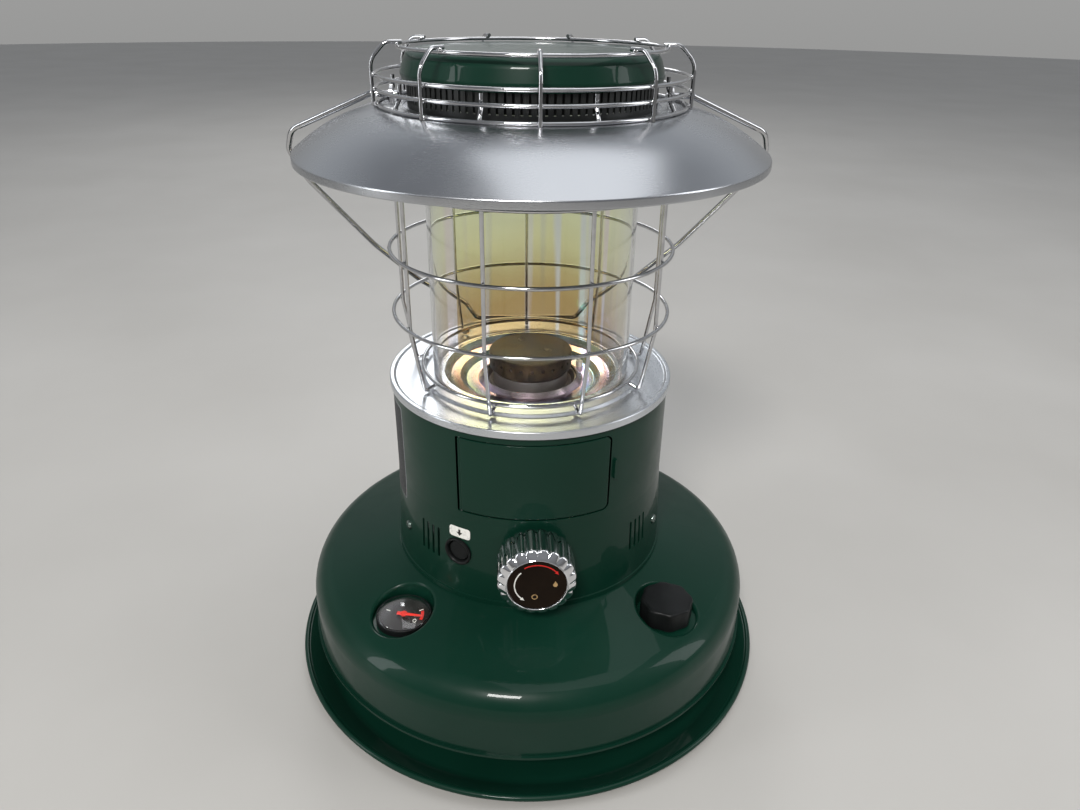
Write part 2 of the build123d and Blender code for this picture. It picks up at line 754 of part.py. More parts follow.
with BuildPart() as knob:
    with BuildSketch(shaft_plane(KNOB_BACK_Y)):
        Circle(KNOB_R)
        with PolarLocations(KNOB_R + 0.8, KNOB_FLUTES):
            Circle(2.4, mode=Mode.SUBTRACT)
    extrude(amount=KNOB_BACK_Y - KNOB_FACE_Y, taper=0.8)
    with BuildSketch(Plane.YZ):
        with Locations((KNOB_FACE_Y, KNOB_Z)):
            with BuildLine():
                Polyline(
                    (0, KNOB_DISC_R + 0.8), (0, KNOB_R + 2), (6, KNOB_R + 2), (3.6, KNOB_R),
                    close=True,
                )
            make_face()
    revolve(axis=Axis((0, 0, KNOB_Z), (0, 1, 0)), mode=Mode.SUBTRACT)
    with BuildSketch(shaft_plane(KNOB_FACE_Y + 1.6)):
        Circle(KNOB_DISC_R)
    extrude(amount=4, mode=Mode.SUBTRACT)
    with BuildSketch(shaft_plane(KNOB_BACK_Y)):
        Circle(KNOB_R - 3)
        Circle(6.5, mode=Mode.SUBTRACT)
    extrude(amount=20, mode=Mode.SUBTRACT)
    with BuildSketch(shaft_plane(KNOB_BACK_Y)):
        Circle(SHAFT_R)
    extrude(amount=-KNOB_FACE_Y + KNOB_BACK_Y - 6, mode=Mode.SUBTRACT)
finish(knob, "knob")

with BuildPart() as knob_insert:
    with BuildSketch(shaft_plane(KNOB_FACE_Y + 1.6)):
        Circle(KNOB_DISC_R)
    extrude(amount=0.9)
finish(knob_insert, "knob_insert")

igniter_spot = at(43.6, 115, 0)
with BuildPart() as burner_dish:
    revolve(
        pressed_section(
            [(68.8, GLASS_LOW_Z), (64.6, GLASS_LOW_Z), (60.4, 245.0), (53, 243.6), (48.8, 240.2),
             (39.4, 239.6), (DISH_EYE_R, 243.2)],
            1.2,
        ),
        axis=Axis.Z,
    )
    with BuildSketch(Plane.XY.offset(230)):
        with Locations((igniter_spot.X, igniter_spot.Y)):
            Circle(2.6)
    extrude(amount=20, mode=Mode.SUBTRACT)
finish(burner_dish, "burner_dish")

with BuildPart() as flame_spreader:
    revolve(
        filled_section([
            (0, 236), (INNER_TUBE_R - 1.2, 236), (INNER_TUBE_R - 1.2, 251), (SPREADER_R, 251),
            (SPREADER_R, SPREADER_TOP_Z - 0.8), (SPREADER_R - 0.8, SPREADER_TOP_Z), (0, SPREADER_TOP_Z),
        ]),
        axis=Axis.Z,
    )
    revolve(
        filled_section([
            (0, 235), (INNER_TUBE_R - 2.2, 235), (INNER_TUBE_R - 2.2, 252), (SPREADER_R - 1, 252),
            (SPREADER_R - 1, SPREADER_TOP_Z - 1), (0, SPREADER_TOP_Z - 1),
        ]),
        axis=Axis.Z, mode=Mode.SUBTRACT,
    )
    for count in range(24):
        with BuildSketch(facing(20, count * 15, 257)):
            Circle(1.3)
        extrude(amount=20, mode=Mode.SUBTRACT)
finish(flame_spreader, "flame_spreader")

with BuildPart() as igniter:
    with BuildSketch(Plane(igniter_spot).offset(214)):
        Circle(2.6)
    extrude(amount=30)
    with BuildSketch(Plane(igniter_spot).offset(244)):
        Circle(0.7)
    extrude(amount=3)
    with BuildSketch(facing(36.5, 115, 246.4)):
        Circle(0.7)
    extrude(amount=7.5)
finish(igniter, "igniter")

# ---- Emergency stop -----------------------------------------------------------------------------
with BuildPart() as button_bezel:
    with BuildSketch(facing(102, BUTTON_AZ, BUTTON_Z)):
        Circle(BEZEL_R)
    extrude(amount=4.2)
    with BuildSketch(facing(84, BUTTON_AZ, BUTTON_Z)):
        Circle(BEZEL_R - 1.4)
    extrude(amount=19)
    add(body_shell.part, mode=Mode.SUBTRACT)
    with BuildSketch(facing(85.5, BUTTON_AZ, BUTTON_Z)):
        Circle(BUTTON_R + 0.3)
    extrude(amount=30, mode=Mode.SUBTRACT)
    with BuildSketch(facing(80, BUTTON_AZ, BUTTON_Z)):
        Circle(2.7)
    extrude(amount=8, mode=Mode.SUBTRACT)
    with BuildSketch(facing(98, BUTTON_AZ, BUTTON_Z)):
        Circle(BEZEL_R + 4)
        Circle(BEZEL_R - 1.4, mode=Mode.SUBTRACT)
    extrude(amount=5.6, mode=Mode.SUBTRACT)
finish(button_bezel, "button_bezel")

with BuildPart() as emergency_button:
    with BuildSketch(facing(97, BUTTON_AZ, BUTTON_Z)):
        Circle(BUTTON_R)
    extrude(amount=6.9)
    fillet(emergency_button.faces().sort_by(Axis.Y)[0].edges(), radius=1.2)
    with BuildSketch(facing(82.4, BUTTON_AZ, BUTTON_Z)):
        Circle(2.4)
    extrude(amount=15)
    with Locations(at(82.4, BUTTON_AZ, BUTTON_Z)):
        Sphere(2.4)
finish(emergency_button, "emergency_button")

# The spring is shown at its pressed length, and travels with the button.
with BuildPart() as button_spring:
    with BuildLine() as coil_line:
        Helix(pitch=1.5, height=6, radius=5, center=at(90.6, BUTTON_AZ, BUTTON_Z), direction=at(1, BUTTON_AZ, 0))
    with BuildSketch(Plane(origin=coil_line.line @ 0, z_dir=coil_line.line % 0)):
        Circle(0.4)
    sweep(is_frenet=True)
finish(button_spring, "button_spring")

LEVER_Z = 141.6
lever_plane = Plane(at(77.7, BUTTON_AZ, LEVER_Z), x_dir=at(1, BUTTON_AZ + 90, 0), z_dir=(0, 0, 1))
with BuildPart() as release_lever:
    with BuildSketch(lever_plane):
        with Locations(((LEVER_ARM + 18 - 4) / 2, 0)):
            Rectangle(LEVER_ARM + 22, 4)
        with Locations((LEVER_ARM, 0)):
            Circle(4)
            Circle(1.56, mode=Mode.SUBTRACT)
    extrude(amount=3)
finish(release_lever, "release_lever")

with BuildPart() as lever_post:
    with BuildSketch(lever_plane.offset(TANK_TOP_Z - LEVER_Z)):
        with Locations((LEVER_ARM, 0)):
            Circle(3)
    extrude(amount=LEVER_Z - TANK_TOP_Z - 0.3)
    with BuildSketch(lever_plane.offset(-1)):
        with Locations((LEVER_ARM, 0)):
            Circle(1.5)
    extrude(amount=5.5)
finish(lever_post, "lever_post")

# A weight swings on a pin beside the burner, and trips the drive if the heater tips.
TIP_X = 70.0
TIP_PIN_Z = 170.0
with BuildPart() as tip_bracket:
    with BuildSketch(Plane.XY.offset(TANK_TOP_Z)):
        with Locations((TIP_X, 32)):
            Rectangle(8, 3)
    extrude(amount=TIP_PIN_Z + 4 - TANK_TOP_Z)
    with BuildSketch(Plane(origin=(TIP_X, 31, TIP_PIN_Z), x_dir=(1, 0, 0), z_dir=(0, -1, 0))):
        Circle(1.5)
    extrude(amount=19)
finish(tip_bracket, "tip_bracket")

with BuildPart() as tip_weight:
    with BuildSketch(Plane(origin=(TIP_X, 24, TIP_PIN_Z), x_dir=(1, 0, 0), z_dir=(0, -1, 0))):
        Circle(4)
        with Locations((0, -20)):
            Rectangle(3, 36)
        Circle(1.56, mode=Mode.SUBTRACT)
    extrude(amount=8)
    with BuildSketch(Plane(origin=(TIP_X, 20, 114), z_dir=(0, 0, 1))):
        Circle(9)
    extrude(amount=20)
finish(tip_weight, "tip_weight")

# ---- Chimney, shade and drum --------------------------------------------------------------------
with BuildPart() as glass_chimney:
    revolve(tube_section(GLASS_R, GLASS_R - GLASS_WALL, GLASS_LOW_Z, GLASS_TOP_Z), axis=Axis.Z)
    fillet(glass_chimney.edges(), radius=0.9)
finish(glass_chimney, "glass_chimney")

PLATE_UNDER_Z = NECK_PLATE_Z - SHADE_SHEET
guard_azimuths = [20 + 360 / GUARD_WIRES * count for count in range(GUARD_WIRES)]
with BuildPart() as shade:
    with BuildSketch(Plane.XZ):
        with BuildLine():
            Line((SHADE_R, SHADE_LIP_Z), (SHADE_R, SHADE_EDGE_Z))
            ThreePointArc((SHADE_R, SHADE_EDGE_Z), (130.4, 426.0), (NECK_PLATE_R, NECK_PLATE_Z))
            Line((NECK_PLATE_R, NECK_PLATE_Z), (84, NECK_PLATE_Z))
            offset(amount=SHADE_SHEET, side=Side.LEFT)
        make_face()
    revolve(axis=Axis.Z)
    with BuildSketch(Plane.XY.offset(NECK_PLATE_Z - 4)):
        with Locations(*[(at(GUARD_R, azimuth, 0).X, at(GUARD_R, azimuth, 0).Y) for azimuth in guard_azimuths]):
            Circle(GUARD_WIRE + 0.6)
    extrude(amount=8, mode=Mode.SUBTRACT)
finish(shade, "shade")

with BuildPart() as chimney_collar:
    revolve(tube_section(COLLAR_R, COLLAR_R - 1, 418, PLATE_UNDER_Z), axis=Axis.Z)
    revolve(tube_section(92, 66, PLATE_UNDER_Z - 1, PLATE_UNDER_Z), axis=Axis.Z)
finish(chimney_collar, "chimney_collar")

with BuildPart() as heat_drum:
    revolve(tube_section(DRUM_R, DRUM_R - 1, PLATE_UNDER_Z, DRUM_TOP_Z), axis=Axis.Z)
    with BuildSketch(Plane.XY.offset(439)):
        with PolarLocations(DRUM_R, DRUM_SLITS):
            Rectangle(6, DRUM_SLIT)
    extrude(amount=14, mode=Mode.SUBTRACT)
finish(heat_drum, "heat_drum")

with BuildPart() as heat_baffle:
    revolve(tube_section(DRUM_R, 0, DRUM_TOP_Z, DRUM_TOP_Z + 1), axis=Axis.Z)
    with BuildSketch(Plane.XY.offset(DRUM_TOP_Z + 1)):
        with PolarLocations(50, 3):
            Circle(5)
    extrude(amount=TOP_CAP_Z - DRUM_TOP_Z - 2)
finish(heat_baffle, "heat_baffle")

with BuildPart() as top_cap:
    with BuildSketch(Plane.XZ):
        with BuildLine():
            FilletPolyline((83.4, 451.4), (TOP_CAP_R, 455.4), (80.5, TOP_CAP_Z), (0, TOP_CAP_Z), radius=[4, 9])
            offset(amount=SHEET, side=Side.LEFT)
        make_face()
    revolve(axis=Axis.Z)
finish(top_cap, "top_cap")

# ---- Wire guards --------------------------------------------------------------------------------
with BuildPart() as lower_guard_uprights:
    for azimuth in guard_azimuths:
        with BuildLine(radial_plane(azimuth)) as run:
            FilletPolyline(
                (79.6, BASE_RING_Z - 2 * GUARD_WIRE), (FOOT_R, PLATE_Z + GUARD_WIRE), (GUARD_R, 295),
                (GUARD_R, 438.6), (STUB_R, 444.6), (STUB_R, STUB_TOP_Z),
                radius=2.4,
            )
        with BuildSketch(Plane(origin=run.line @ 0, z_dir=run.line % 0)) as end:
            Circle(GUARD_WIRE)
        sweep(sections=end.sketch, path=run.line)
finish(lower_guard_uprights, "lower_guard_uprights")

with BuildPart() as lower_guard_rings:
    for height in GUARD_RING_HEIGHTS:
        revolve(wire_ring(GUARD_R + 2 * GUARD_WIRE, height, GUARD_WIRE), axis=Axis.Z)
finish(lower_guard_rings, "lower_guard_rings")

with BuildPart() as lower_guard_base_ring:
    revolve(wire_ring(BASE_RING_R, BASE_RING_Z, GUARD_WIRE), axis=Axis.Z)
finish(lower_guard_base_ring, "lower_guard_base_ring")

with BuildPart() as top_guard_uprights:
    for count in range(GUARD_WIRES):
        with BuildLine(radial_plane(360 / GUARD_WIRES * count)) as run:
            FilletPolyline(
                (CROWN_R, NECK_PLATE_Z + 0.1), (CROWN_R, 463), (92.6, CROWN_TIP_Z), (82.4, CROWN_TIP_Z),
                radius=[12, 7],
            )
        with BuildSketch(Plane(origin=run.line @ 0, z_dir=run.line % 0)) as end:
            Circle(CROWN_WIRE)
        sweep(sections=end.sketch, path=run.line)
finish(top_guard_uprights, "top_guard_uprights")

with BuildPart() as top_guard_rings:
    for height in CROWN_RING_HEIGHTS:
        revolve(wire_ring(CROWN_R - 2 * CROWN_WIRE, height, CROWN_WIRE), axis=Axis.Z)
finish(top_guard_rings, "top_guard_rings")

with BuildPart() as top_guard_crown:
    revolve(wire_ring(CROWN_TOP_RING_R, CROWN_TIP_Z - 2 * CROWN_WIRE, CROWN_WIRE), axis=Axis.Z)
finish(top_guard_crown, "top_guard_crown")

# ---- Handle -------------------------------------------------------------------------------------
with BuildPart() as handle_brackets:
    for side in (-1, 1):
        plate = Plane(origin=(side * BRACKET_X - 1, 0, 0), x_dir=(0, 1, 0), z_dir=(1, 0, 0))
        with BuildSketch(plate):
            with Locations((0, (NECK_PLATE_Z + HANDLE_Z) / 2)):
                Rectangle(11, HANDLE_Z - NECK_PLATE_Z)
            with Locations((0, HANDLE_Z)):
                Circle(5.5)
                Circle(HANDLE_WIRE + 0.08, mode=Mode.SUBTRACT)
        extrude(amount=2)
finish(handle_brackets, "handle_brackets")

rest_lean = asin((PLATE_R + HANDLE_WIRE + 0.3) / HANDLE_REACH)
handle_plane = Plane(origin=(0, 0, HANDLE_Z), x_dir=(1, 0, 0), z_dir=(0, cos(rest_lean), sin(rest_lean)))
half_loop = [
    (87.5, 0), (105, 0), (161, 28), (166.5, 44), (158, 71), (120, 135), (88, 176), (55, 204),
    (46, HANDLE_REACH),
]
loop = half_loop + [(-x, y) for x, y in reversed(half_loop)]
half_bends = [4, 12, 12, 24, 70, 60, 8, 6]
with BuildPart() as handle:
    with BuildLine(handle_plane) as run:
        FilletPolyline(*loop, radius=half_bends + half_bends[::-1])
    with BuildSketch(Plane(origin=run.line @ 0, z_dir=run.line % 0)) as end:
        Circle(HANDLE_WIRE)
    sweep(sections=end.sketch, path=run.line)
finish(handle, "handle")

print("handle rests", round(degrees(rest_lean), 2), "degrees behind straight down")
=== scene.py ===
import json
import math

import bmesh
import bpy
from mathutils import Matrix, Vector


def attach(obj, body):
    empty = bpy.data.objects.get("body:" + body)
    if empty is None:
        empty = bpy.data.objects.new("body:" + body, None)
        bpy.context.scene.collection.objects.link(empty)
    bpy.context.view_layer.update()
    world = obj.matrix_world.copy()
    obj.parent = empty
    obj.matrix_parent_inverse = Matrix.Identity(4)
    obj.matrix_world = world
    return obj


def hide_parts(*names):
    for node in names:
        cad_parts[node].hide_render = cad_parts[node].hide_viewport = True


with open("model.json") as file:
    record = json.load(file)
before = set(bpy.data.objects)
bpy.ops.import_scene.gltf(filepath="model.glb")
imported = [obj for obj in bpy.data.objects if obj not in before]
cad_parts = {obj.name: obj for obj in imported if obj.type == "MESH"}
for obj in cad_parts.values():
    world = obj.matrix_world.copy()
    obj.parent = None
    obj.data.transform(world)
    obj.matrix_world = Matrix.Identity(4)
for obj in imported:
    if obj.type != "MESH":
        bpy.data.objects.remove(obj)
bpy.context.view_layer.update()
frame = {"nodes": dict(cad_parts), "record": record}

# Looks for the lantern-style kerosene heater. Lengths in the tables are millimetres and are turned into
# metres where a mesh is made. An azimuth is in degrees from the front (-Y), towards +X.
MM = 0.001
NODES = frame["nodes"]

BODY_R = 103.6
BODY_FLARE = 2.8
TAPER_TOP = 172.0
TAPER_TALL = 64.1
DOOR_LOW, DOOR_HIGH = 179.0, 237.0
DOOR_HALF = {"front_hatch": 51.0, "battery_lid": 31.0}
DOOR_AZIMUTH = {"front_hatch": 0, "battery_lid": 180}
HINGE_R = 102.0
PLATE_AZIMUTH = -82.0
BUTTON_AZIMUTH, BUTTON_Z = -31.5, 143.0
LABEL_AZIMUTH, LABEL_Z = -30.7, 159.5
SCREW_AZIMUTHS, SCREW_Z = (-150, -63, 64, 150), 137.0
GLASS_IN, GLASS_OUT = 70.0, 73.0
KNOB_Z = 148.0
FLUTES = 20

# ---- Node helpers -------------------------------------------------------------------------------


def node(tree, kind, inputs=None, **settings):
    """A shader node with its settings and inputs. An input may be a number, a colour or a socket."""
    made = tree.nodes.new("ShaderNode" + kind)
    for name, value in settings.items():
        setattr(made, name, value)
    for name, value in (inputs or {}).items():
        if isinstance(value, bpy.types.NodeSocket):
            tree.links.new(value, made.inputs[name])
        else:
            made.inputs[name].default_value = value
    return made


def maths(tree, operation, first, second=0.0):
    return node(tree, "Math", {0: first, 1: second}, operation=operation).outputs[0]


def span(tree, value, low, high, out_low=0.0, out_high=1.0, smooth=False):
    """value mapped from low..high to out_low..out_high, and clamped."""
    made = node(
        tree, "MapRange",
        {"Value": value, "From Min": low, "From Max": high, "To Min": out_low, "To Max": out_high},
        interpolation_type="SMOOTHSTEP" if smooth else "LINEAR",
    )
    return made.outputs["Result"]


def place(tree, scale=(1, 1, 1)):
    """Object coordinates, in metres, times a scale."""
    coords = node(tree, "TexCoord").outputs["Object"]
    return node(tree, "Mapping", {"Vector": coords, "Scale": scale}).outputs["Vector"]


def polar(tree, centre=(0, 0, 0)):
    """Radius, turn and height about a vertical axis, as three sockets."""
    coords = node(tree, "TexCoord").outputs["Object"]
    moved = node(tree, "VectorMath", {0: coords, 1: centre}, operation="SUBTRACT").outputs["Vector"]
    parts = node(tree, "SeparateXYZ", {"Vector": moved}).outputs
    flat = node(tree, "CombineXYZ", {"X": parts["X"], "Y": parts["Y"]}).outputs["Vector"]
    radius = node(tree, "VectorMath", {0: flat}, operation="LENGTH").outputs["Value"]
    return radius, maths(tree, "ARCTAN2", parts["X"], parts["Y"]), parts["Z"]


def noise(tree, vector, scale, detail=3.0, roughness=0.5, distortion=0.0):
    inputs = {"Vector": vector, "Scale": scale, "Detail": detail, "Roughness": roughness,
              "Distortion": distortion}
    return node(tree, "TexNoise", inputs).outputs["Fac"]


def ramp(tree, value, stops):
    """Colours along a value, from (position, (r, g, b)) pairs."""
    made = node(tree, "ValToRGB", {"Fac": value})
    elements = made.color_ramp.elements
    while len(elements) < len(stops):
        elements.new(0.5)
    for element, (position, colour) in zip(elements, stops):
        element.position = position
        element.color = (*colour, 1.0)
    return made.outputs["Color"]


def mix(tree, share, first, second, blend="MIX"):
    """Two colours mixed by a share, which may be a number or a socket."""
    first = first if isinstance(first, bpy.types.NodeSocket) else (*first, 1.0)
    second = second if isinstance(second, bpy.types.NodeSocket) else (*second, 1.0)
    made = node(tree, "Mix", data_type="RGBA", blend_type=blend)
    for index, value in ((0, share), (6, first), (7, second)):
        if isinstance(value, bpy.types.NodeSocket):
            tree.links.new(value, made.inputs[index])
        else:
            made.inputs[index].default_value = value
    return made.outputs[2]


def material(name, **values):
    """A material with one Principled shader. Returns the material, its tree and the shader."""
    made = bpy.data.materials.new(name)
    made.use_nodes = True
    tree = made.node_tree
    shader = tree.nodes["Principled BSDF"]
    for key, value in values.items():
        shader.inputs[key.replace("_", " ")].default_value = value
    return made, tree, shader


def wire_up(tree, shader, **sockets):
    for key, socket in sockets.items():
        tree.links.new(socket, shader.inputs[key.replace("_", " ")])


def bump(tree, height, distance, strength=1.0, below=None):
    """A bump normal, over another one where it is given."""
    inputs = {"Height": height, "Distance": distance, "Strength": strength}
    if below is not None:
        inputs["Normal"] = below
    return node(tree, "Bump", inputs).outputs["Normal"]


# ---- Finishes -----------------------------------------------------------------------------------


def green_enamel():
    """Deep gloss enamel: very faint orange peel, a slow wave in the pressed sheet, and a little dust."""
    made, tree, shader = material("green_enamel", Coat_Weight=0.27, Coat_Roughness=0.025, Coat_IOR=1.42,
                                  Specular_IOR_Level=0.1)
    where = place(tree)
    tone = noise(tree, where, 9.0, 4.0)
    dust = span(tree, noise(tree, where, 260.0, 6.0, 0.7), 0.6, 0.78, 0.0, 0.25)
    base = ramp(tree, tone, [(0.3, (0.0022, 0.0215, 0.0125)), (0.7, (0.0032, 0.0275, 0.0165))])
    wire_up(
        tree, shader,
        Base_Color=mix(tree, dust, base, (0.008, 0.036, 0.025)),
        Roughness=span(tree, noise(tree, where, 45.0, 5.0), 0.3, 0.7, 0.3, 0.42),
        Normal=bump(tree, noise(tree, where, 620.0, 2.0), 0.00002, 0.3),
        Coat_Normal=bump(tree, noise(tree, where, 14.0, 2.0), 0.0004, 0.12,
                         bump(tree, noise(tree, where, 420.0, 2.0), 0.00001, 0.3)),
    )
    return made


def heat_black(name, dark, light):
    made, tree, shader = material(name, Specular_IOR_Level=0.45)
    where = place(tree)
    wire_up(
        tree, shader,
        Base_Color=ramp(tree, noise(tree, where, 30.0, 5.0), [(0.3, dark), (0.7, light)]),
        Roughness=span(tree, noise(tree, where, 120.0, 4.0), 0.3, 0.7, 0.32, 0.5),
        Normal=bump(tree, noise(tree, where, 900.0, 3.0), 0.00005, 0.6),
    )
    return made


def spun_metal(name, dark, light, rough_low, rough_high, grain=2600.0, depth=0.00002, centre=(0, 0, 0)):
    """Sheet metal with fine lines round its axis, broken up slowly along the turn."""
    made, tree, shader = material(name, Metallic=1.0)
    radius, turn, height = polar(tree, centre)
    ring = node(tree, "CombineXYZ", {"X": radius, "Y": maths(tree, "MULTIPLY", turn, 0.004), "Z": height})
    lines = noise(tree, ring.outputs["Vector"], grain, 3.0, 0.65)
    cloud = noise(tree, place(tree), 14.0, 5.0, 0.55)
    wire_up(
        tree, shader,
        Base_Color=mix(tree, span(tree, cloud, 0.3, 0.7), dark, light),
        Roughness=maths(tree, "ADD", span(tree, lines, 0.3, 0.7, rough_low, rough_high),
                        span(tree, cloud, 0.3, 0.7, -0.03, 0.04)),
        Normal=bump(tree, lines, depth, 0.5),
    )
    return made


def wire_metal(name, colour, rough_low, rough_high):
    """Drawn and plated wire, with fine draw marks and a few duller spots."""
    made, tree, shader = material(name, Metallic=1.0)
    where = place(tree)
    marks = noise(tree, place(tree, (1, 1, 0.15)), 1800.0, 3.0)
    spots = noise(tree, where, 160.0, 4.0, 0.6)
    dull = tuple(0.8 * part for part in colour)
    wire_up(
        tree, shader,
        Base_Color=mix(tree, span(tree, spots, 0.5, 0.75), colour, dull),
        Roughness=span(tree, spots, 0.35, 0.7, rough_low, rough_high),
        Normal=bump(tree, marks, 0.00002, 0.4),
    )
    return made


def burner_steel():
    """Polished pressing with heat colours that follow its radius: straw, violet and blue."""
    made, tree, shader = material("polished_steel", Metallic=1.0)
    radius = polar(tree)[0]
    wander = span(tree, noise(tree, place(tree), 26.0, 3.0), 0.0, 1.0, -0.006, 0.006)
    band = span(tree, maths(tree, "ADD", radius, wander), 0.034, 0.070)
    colours = ramp(tree, band, [
        (0.00, (0.40, 0.38, 0.36)), (0.10, (0.74, 0.62, 0.80)), (0.20, (0.80, 0.60, 0.92)),
        (0.30, (0.46, 0.56, 1.00)), (0.42, (0.46, 0.82, 1.00)), (0.54, (0.88, 0.86, 0.96)),
        (0.66, (0.90, 0.66, 0.90)), (0.80, (0.60, 0.82, 0.94)), (1.00, (0.80, 0.82, 0.87)),
    ])
    cloud = noise(tree, place(tree), 60.0, 4.0)
    wire_up(
        tree, shader,
        Base_Color=mix(tree, span(tree, cloud, 0.3, 0.75, 0.1, 0.4), colours, (0.82, 0.84, 0.88)),
        Roughness=span(tree, cloud, 0.3, 0.7, 0.14, 0.24),
        Normal=bump(tree, noise(tree, place(tree), 300.0, 2.0), 0.00002, 0.3),
    )
    return made


def scorched_steel():
    """The flame spreader and tube tops: browned steel with straw and blue patches."""
    made, tree, shader = material("scorched_steel", Metallic=0.6, Specular_IOR_Level=0.25)
    where = place(tree)
    patches = noise(tree, where, 55.0, 5.0, 0.6)
    wire_up(
        tree, shader,
        Base_Color=ramp(tree, patches, [
            (0.30, (0.006, 0.007, 0.005)), (0.45, (0.016, 0.015, 0.008)), (0.58, (0.050, 0.036, 0.014)),
            (0.72, (0.014, 0.016, 0.014)),
        ]),
        Roughness=span(tree, patches, 0.3, 0.7, 0.26, 0.46),
        Normal=bump(tree, noise(tree, where, 700.0, 3.0), 0.00005, 0.5),
    )
    return made


def chrome():
    made, tree, shader = material("knob_chrome", Metallic=1.0)
    where = place(tree)
    haze = noise(tree, where, 90.0, 4.0)
    wire_up(
        tree, shader,
        Base_Color=mix(tree, span(tree, haze, 0.35, 0.7), (0.78, 0.78, 0.79), (0.66, 0.67, 0.69)),
        Roughness=span(tree, haze, 0.3, 0.75, 0.035, 0.1),
        Normal=bump(tree, noise(tree, where, 200.0, 2.0), 0.00003, 0.3),
    )
    return made


def moulded(name, dark, light, rough_low, rough_high, grain=2200.0, depth=0.00006, **values):
    """Moulded plastic or rubber with a fine spark-eroded grain."""
    made, tree, shader = material(name, **values)
    where = place(tree)
    wire_up(
        tree, shader,
        Base_Color=mix(tree, span(tree, noise(tree, where, 60.0, 4.0), 0.3, 0.7), dark, light),
        Roughness=span(tree, noise(tree, where, 340.0, 4.0), 0.3, 0.7, rough_low, rough_high),
        Normal=bump(tree, noise(tree, where, grain, 3.0, 0.6), depth, 0.5),
    )
    return made


def printed(name, colour, rough=0.4):
    """Screen-printed ink: a slightly uneven flat colour."""
    made, tree, shader = material(name, Specular_IOR_Level=0.25)
    where = place(tree)
    thin = tuple(0.72 * part for part in colour)
    wire_up(
        tree, shader,
        Base_Color=mix(tree, span(tree, noise(tree, where, 500.0, 4.0), 0.45, 0.75), colour, thin),
        Roughness=span(tree, noise(tree, where, 900.0, 3.0), 0.3, 0.7, rough - 0.08, rough + 0.1),
    )
    return made


def lens_plastic():
    """Clear moulded dome, with faint haze lines. Lamps shine through it."""
    made, tree, shader = material("clear_glass", IOR=1.58, Transmission_Weight=1.0,
                                  Base_Color=(0.97, 0.98, 0.98, 1))
    where = place(tree)
    wire_up(
        tree, shader,
        Roughness=span(tree, noise(tree, where, 400.0, 4.0), 0.45, 0.8, 0.0, 0.05),
        Normal=bump(tree, noise(tree, where, 70.0, 2.0), 0.00004, 0.3),
    )
    open_to_lamps(tree, shader, (0.95, 0.96, 0.96))
    return made


def open_to_lamps(tree, shader, tint):
    """Lets lamps shine straight through a glass shader, so that what is inside stays lit."""
    path = node(tree, "LightPath").outputs["Is Shadow Ray"]
    tint = tint if isinstance(tint, bpy.types.NodeSocket) else (*tint, 1.0)
    clear = node(tree, "BsdfTransparent", {"Color": tint}).outputs[0]
    both = node(tree, "MixShader", {0: path, 1: shader.outputs[0], 2: clear}).outputs[0]
    tree.links.new(both, tree.nodes["Material Output"].inputs["Surface"])


def chimney_glass():
    """Clear borosilicate tube with slow draw lines along its length."""
    made, tree, shader = material(
        "rainbow_glass", IOR=1.47, Transmission_Weight=1.0, Roughness=0.0, Base_Color=(0.985, 0.99, 0.985, 1),
        Specular_Tint=(0.4, 0.4, 0.42, 1),
    )
    streaks = noise(tree, place(tree, (1, 1, 0.06)), 45.0, 3.0)
    wire_up(tree, shader, Normal=bump(tree, streaks, 0.0002, 0.25))
    open_to_lamps(tree, shader, (0.97, 0.975, 0.965))
    return made


def chimney_coating():
    """The metal oxide film inside the glass: amber low down, yellow and green above, with upright streaks.
    These colours are full only on the back half of the tube, as a painted reflection of the film.
    """
    made, tree, shader = material(
        "rainbow_film", IOR=1.47, Transmission_Weight=1.0, Roughness=0.0,
        Thin_Film_Thickness=430.0, Thin_Film_IOR=1.33, Specular_Tint=(0.4, 0.4, 0.42, 1),
    )
    height = polar(tree)[2]
    drift = span(tree, noise(tree, place(tree, (1, 1, 0.6)), 16.0, 2.0), 0.0, 1.0, -0.02, 0.02)
    band = span(tree, maths(tree, "ADD", height, drift), 0.25, 0.434)
    depth = node(tree, "SeparateXYZ", {"Vector": place(tree)}).outputs["Y"]
    # Painted reflection: the film's colours are full on the back half of the tube (+Y) and fade to a third of
    # their strength on the front half.
    painted_reflection_back_half = span(tree, depth, 0.005, 0.05, 0.35, 1.0, True)
    colours = mix(tree, painted_reflection_back_half, (0.97, 0.98, 0.97), ramp(tree, band, [
        (0.00, (0.46, 0.25, 0.06)), (0.14, (0.42, 0.22, 0.045)), (0.27, (0.54, 0.38, 0.10)),
        (0.42, (0.86, 0.82, 0.30)), (0.54, (0.94, 1.00, 0.44)), (0.68, (0.95, 1.00, 0.58)),
        (1.00, (0.96, 0.99, 0.92)),
    ]))
    upright = noise(tree, place(tree, (1, 1, 0.03)), 64.0, 2.0, 0.4, 0.4)
    streak = span(tree, upright, 0.57, 0.66, 0.0, 0.85, True)
    cast = ramp(tree, noise(tree, place(tree, (1, 1, 0.3)), 21.0, 1.0), [
        (0.35, (0.92, 0.74, 0.86)), (0.5, (0.74, 0.78, 0.98)), (0.65, (0.70, 0.90, 0.98)),
    ])
    tint = mix(tree, streak, colours, cast)
    wire_up(tree, shader, Base_Color=tint)
    open_to_lamps(tree, shader, tint)
    return made


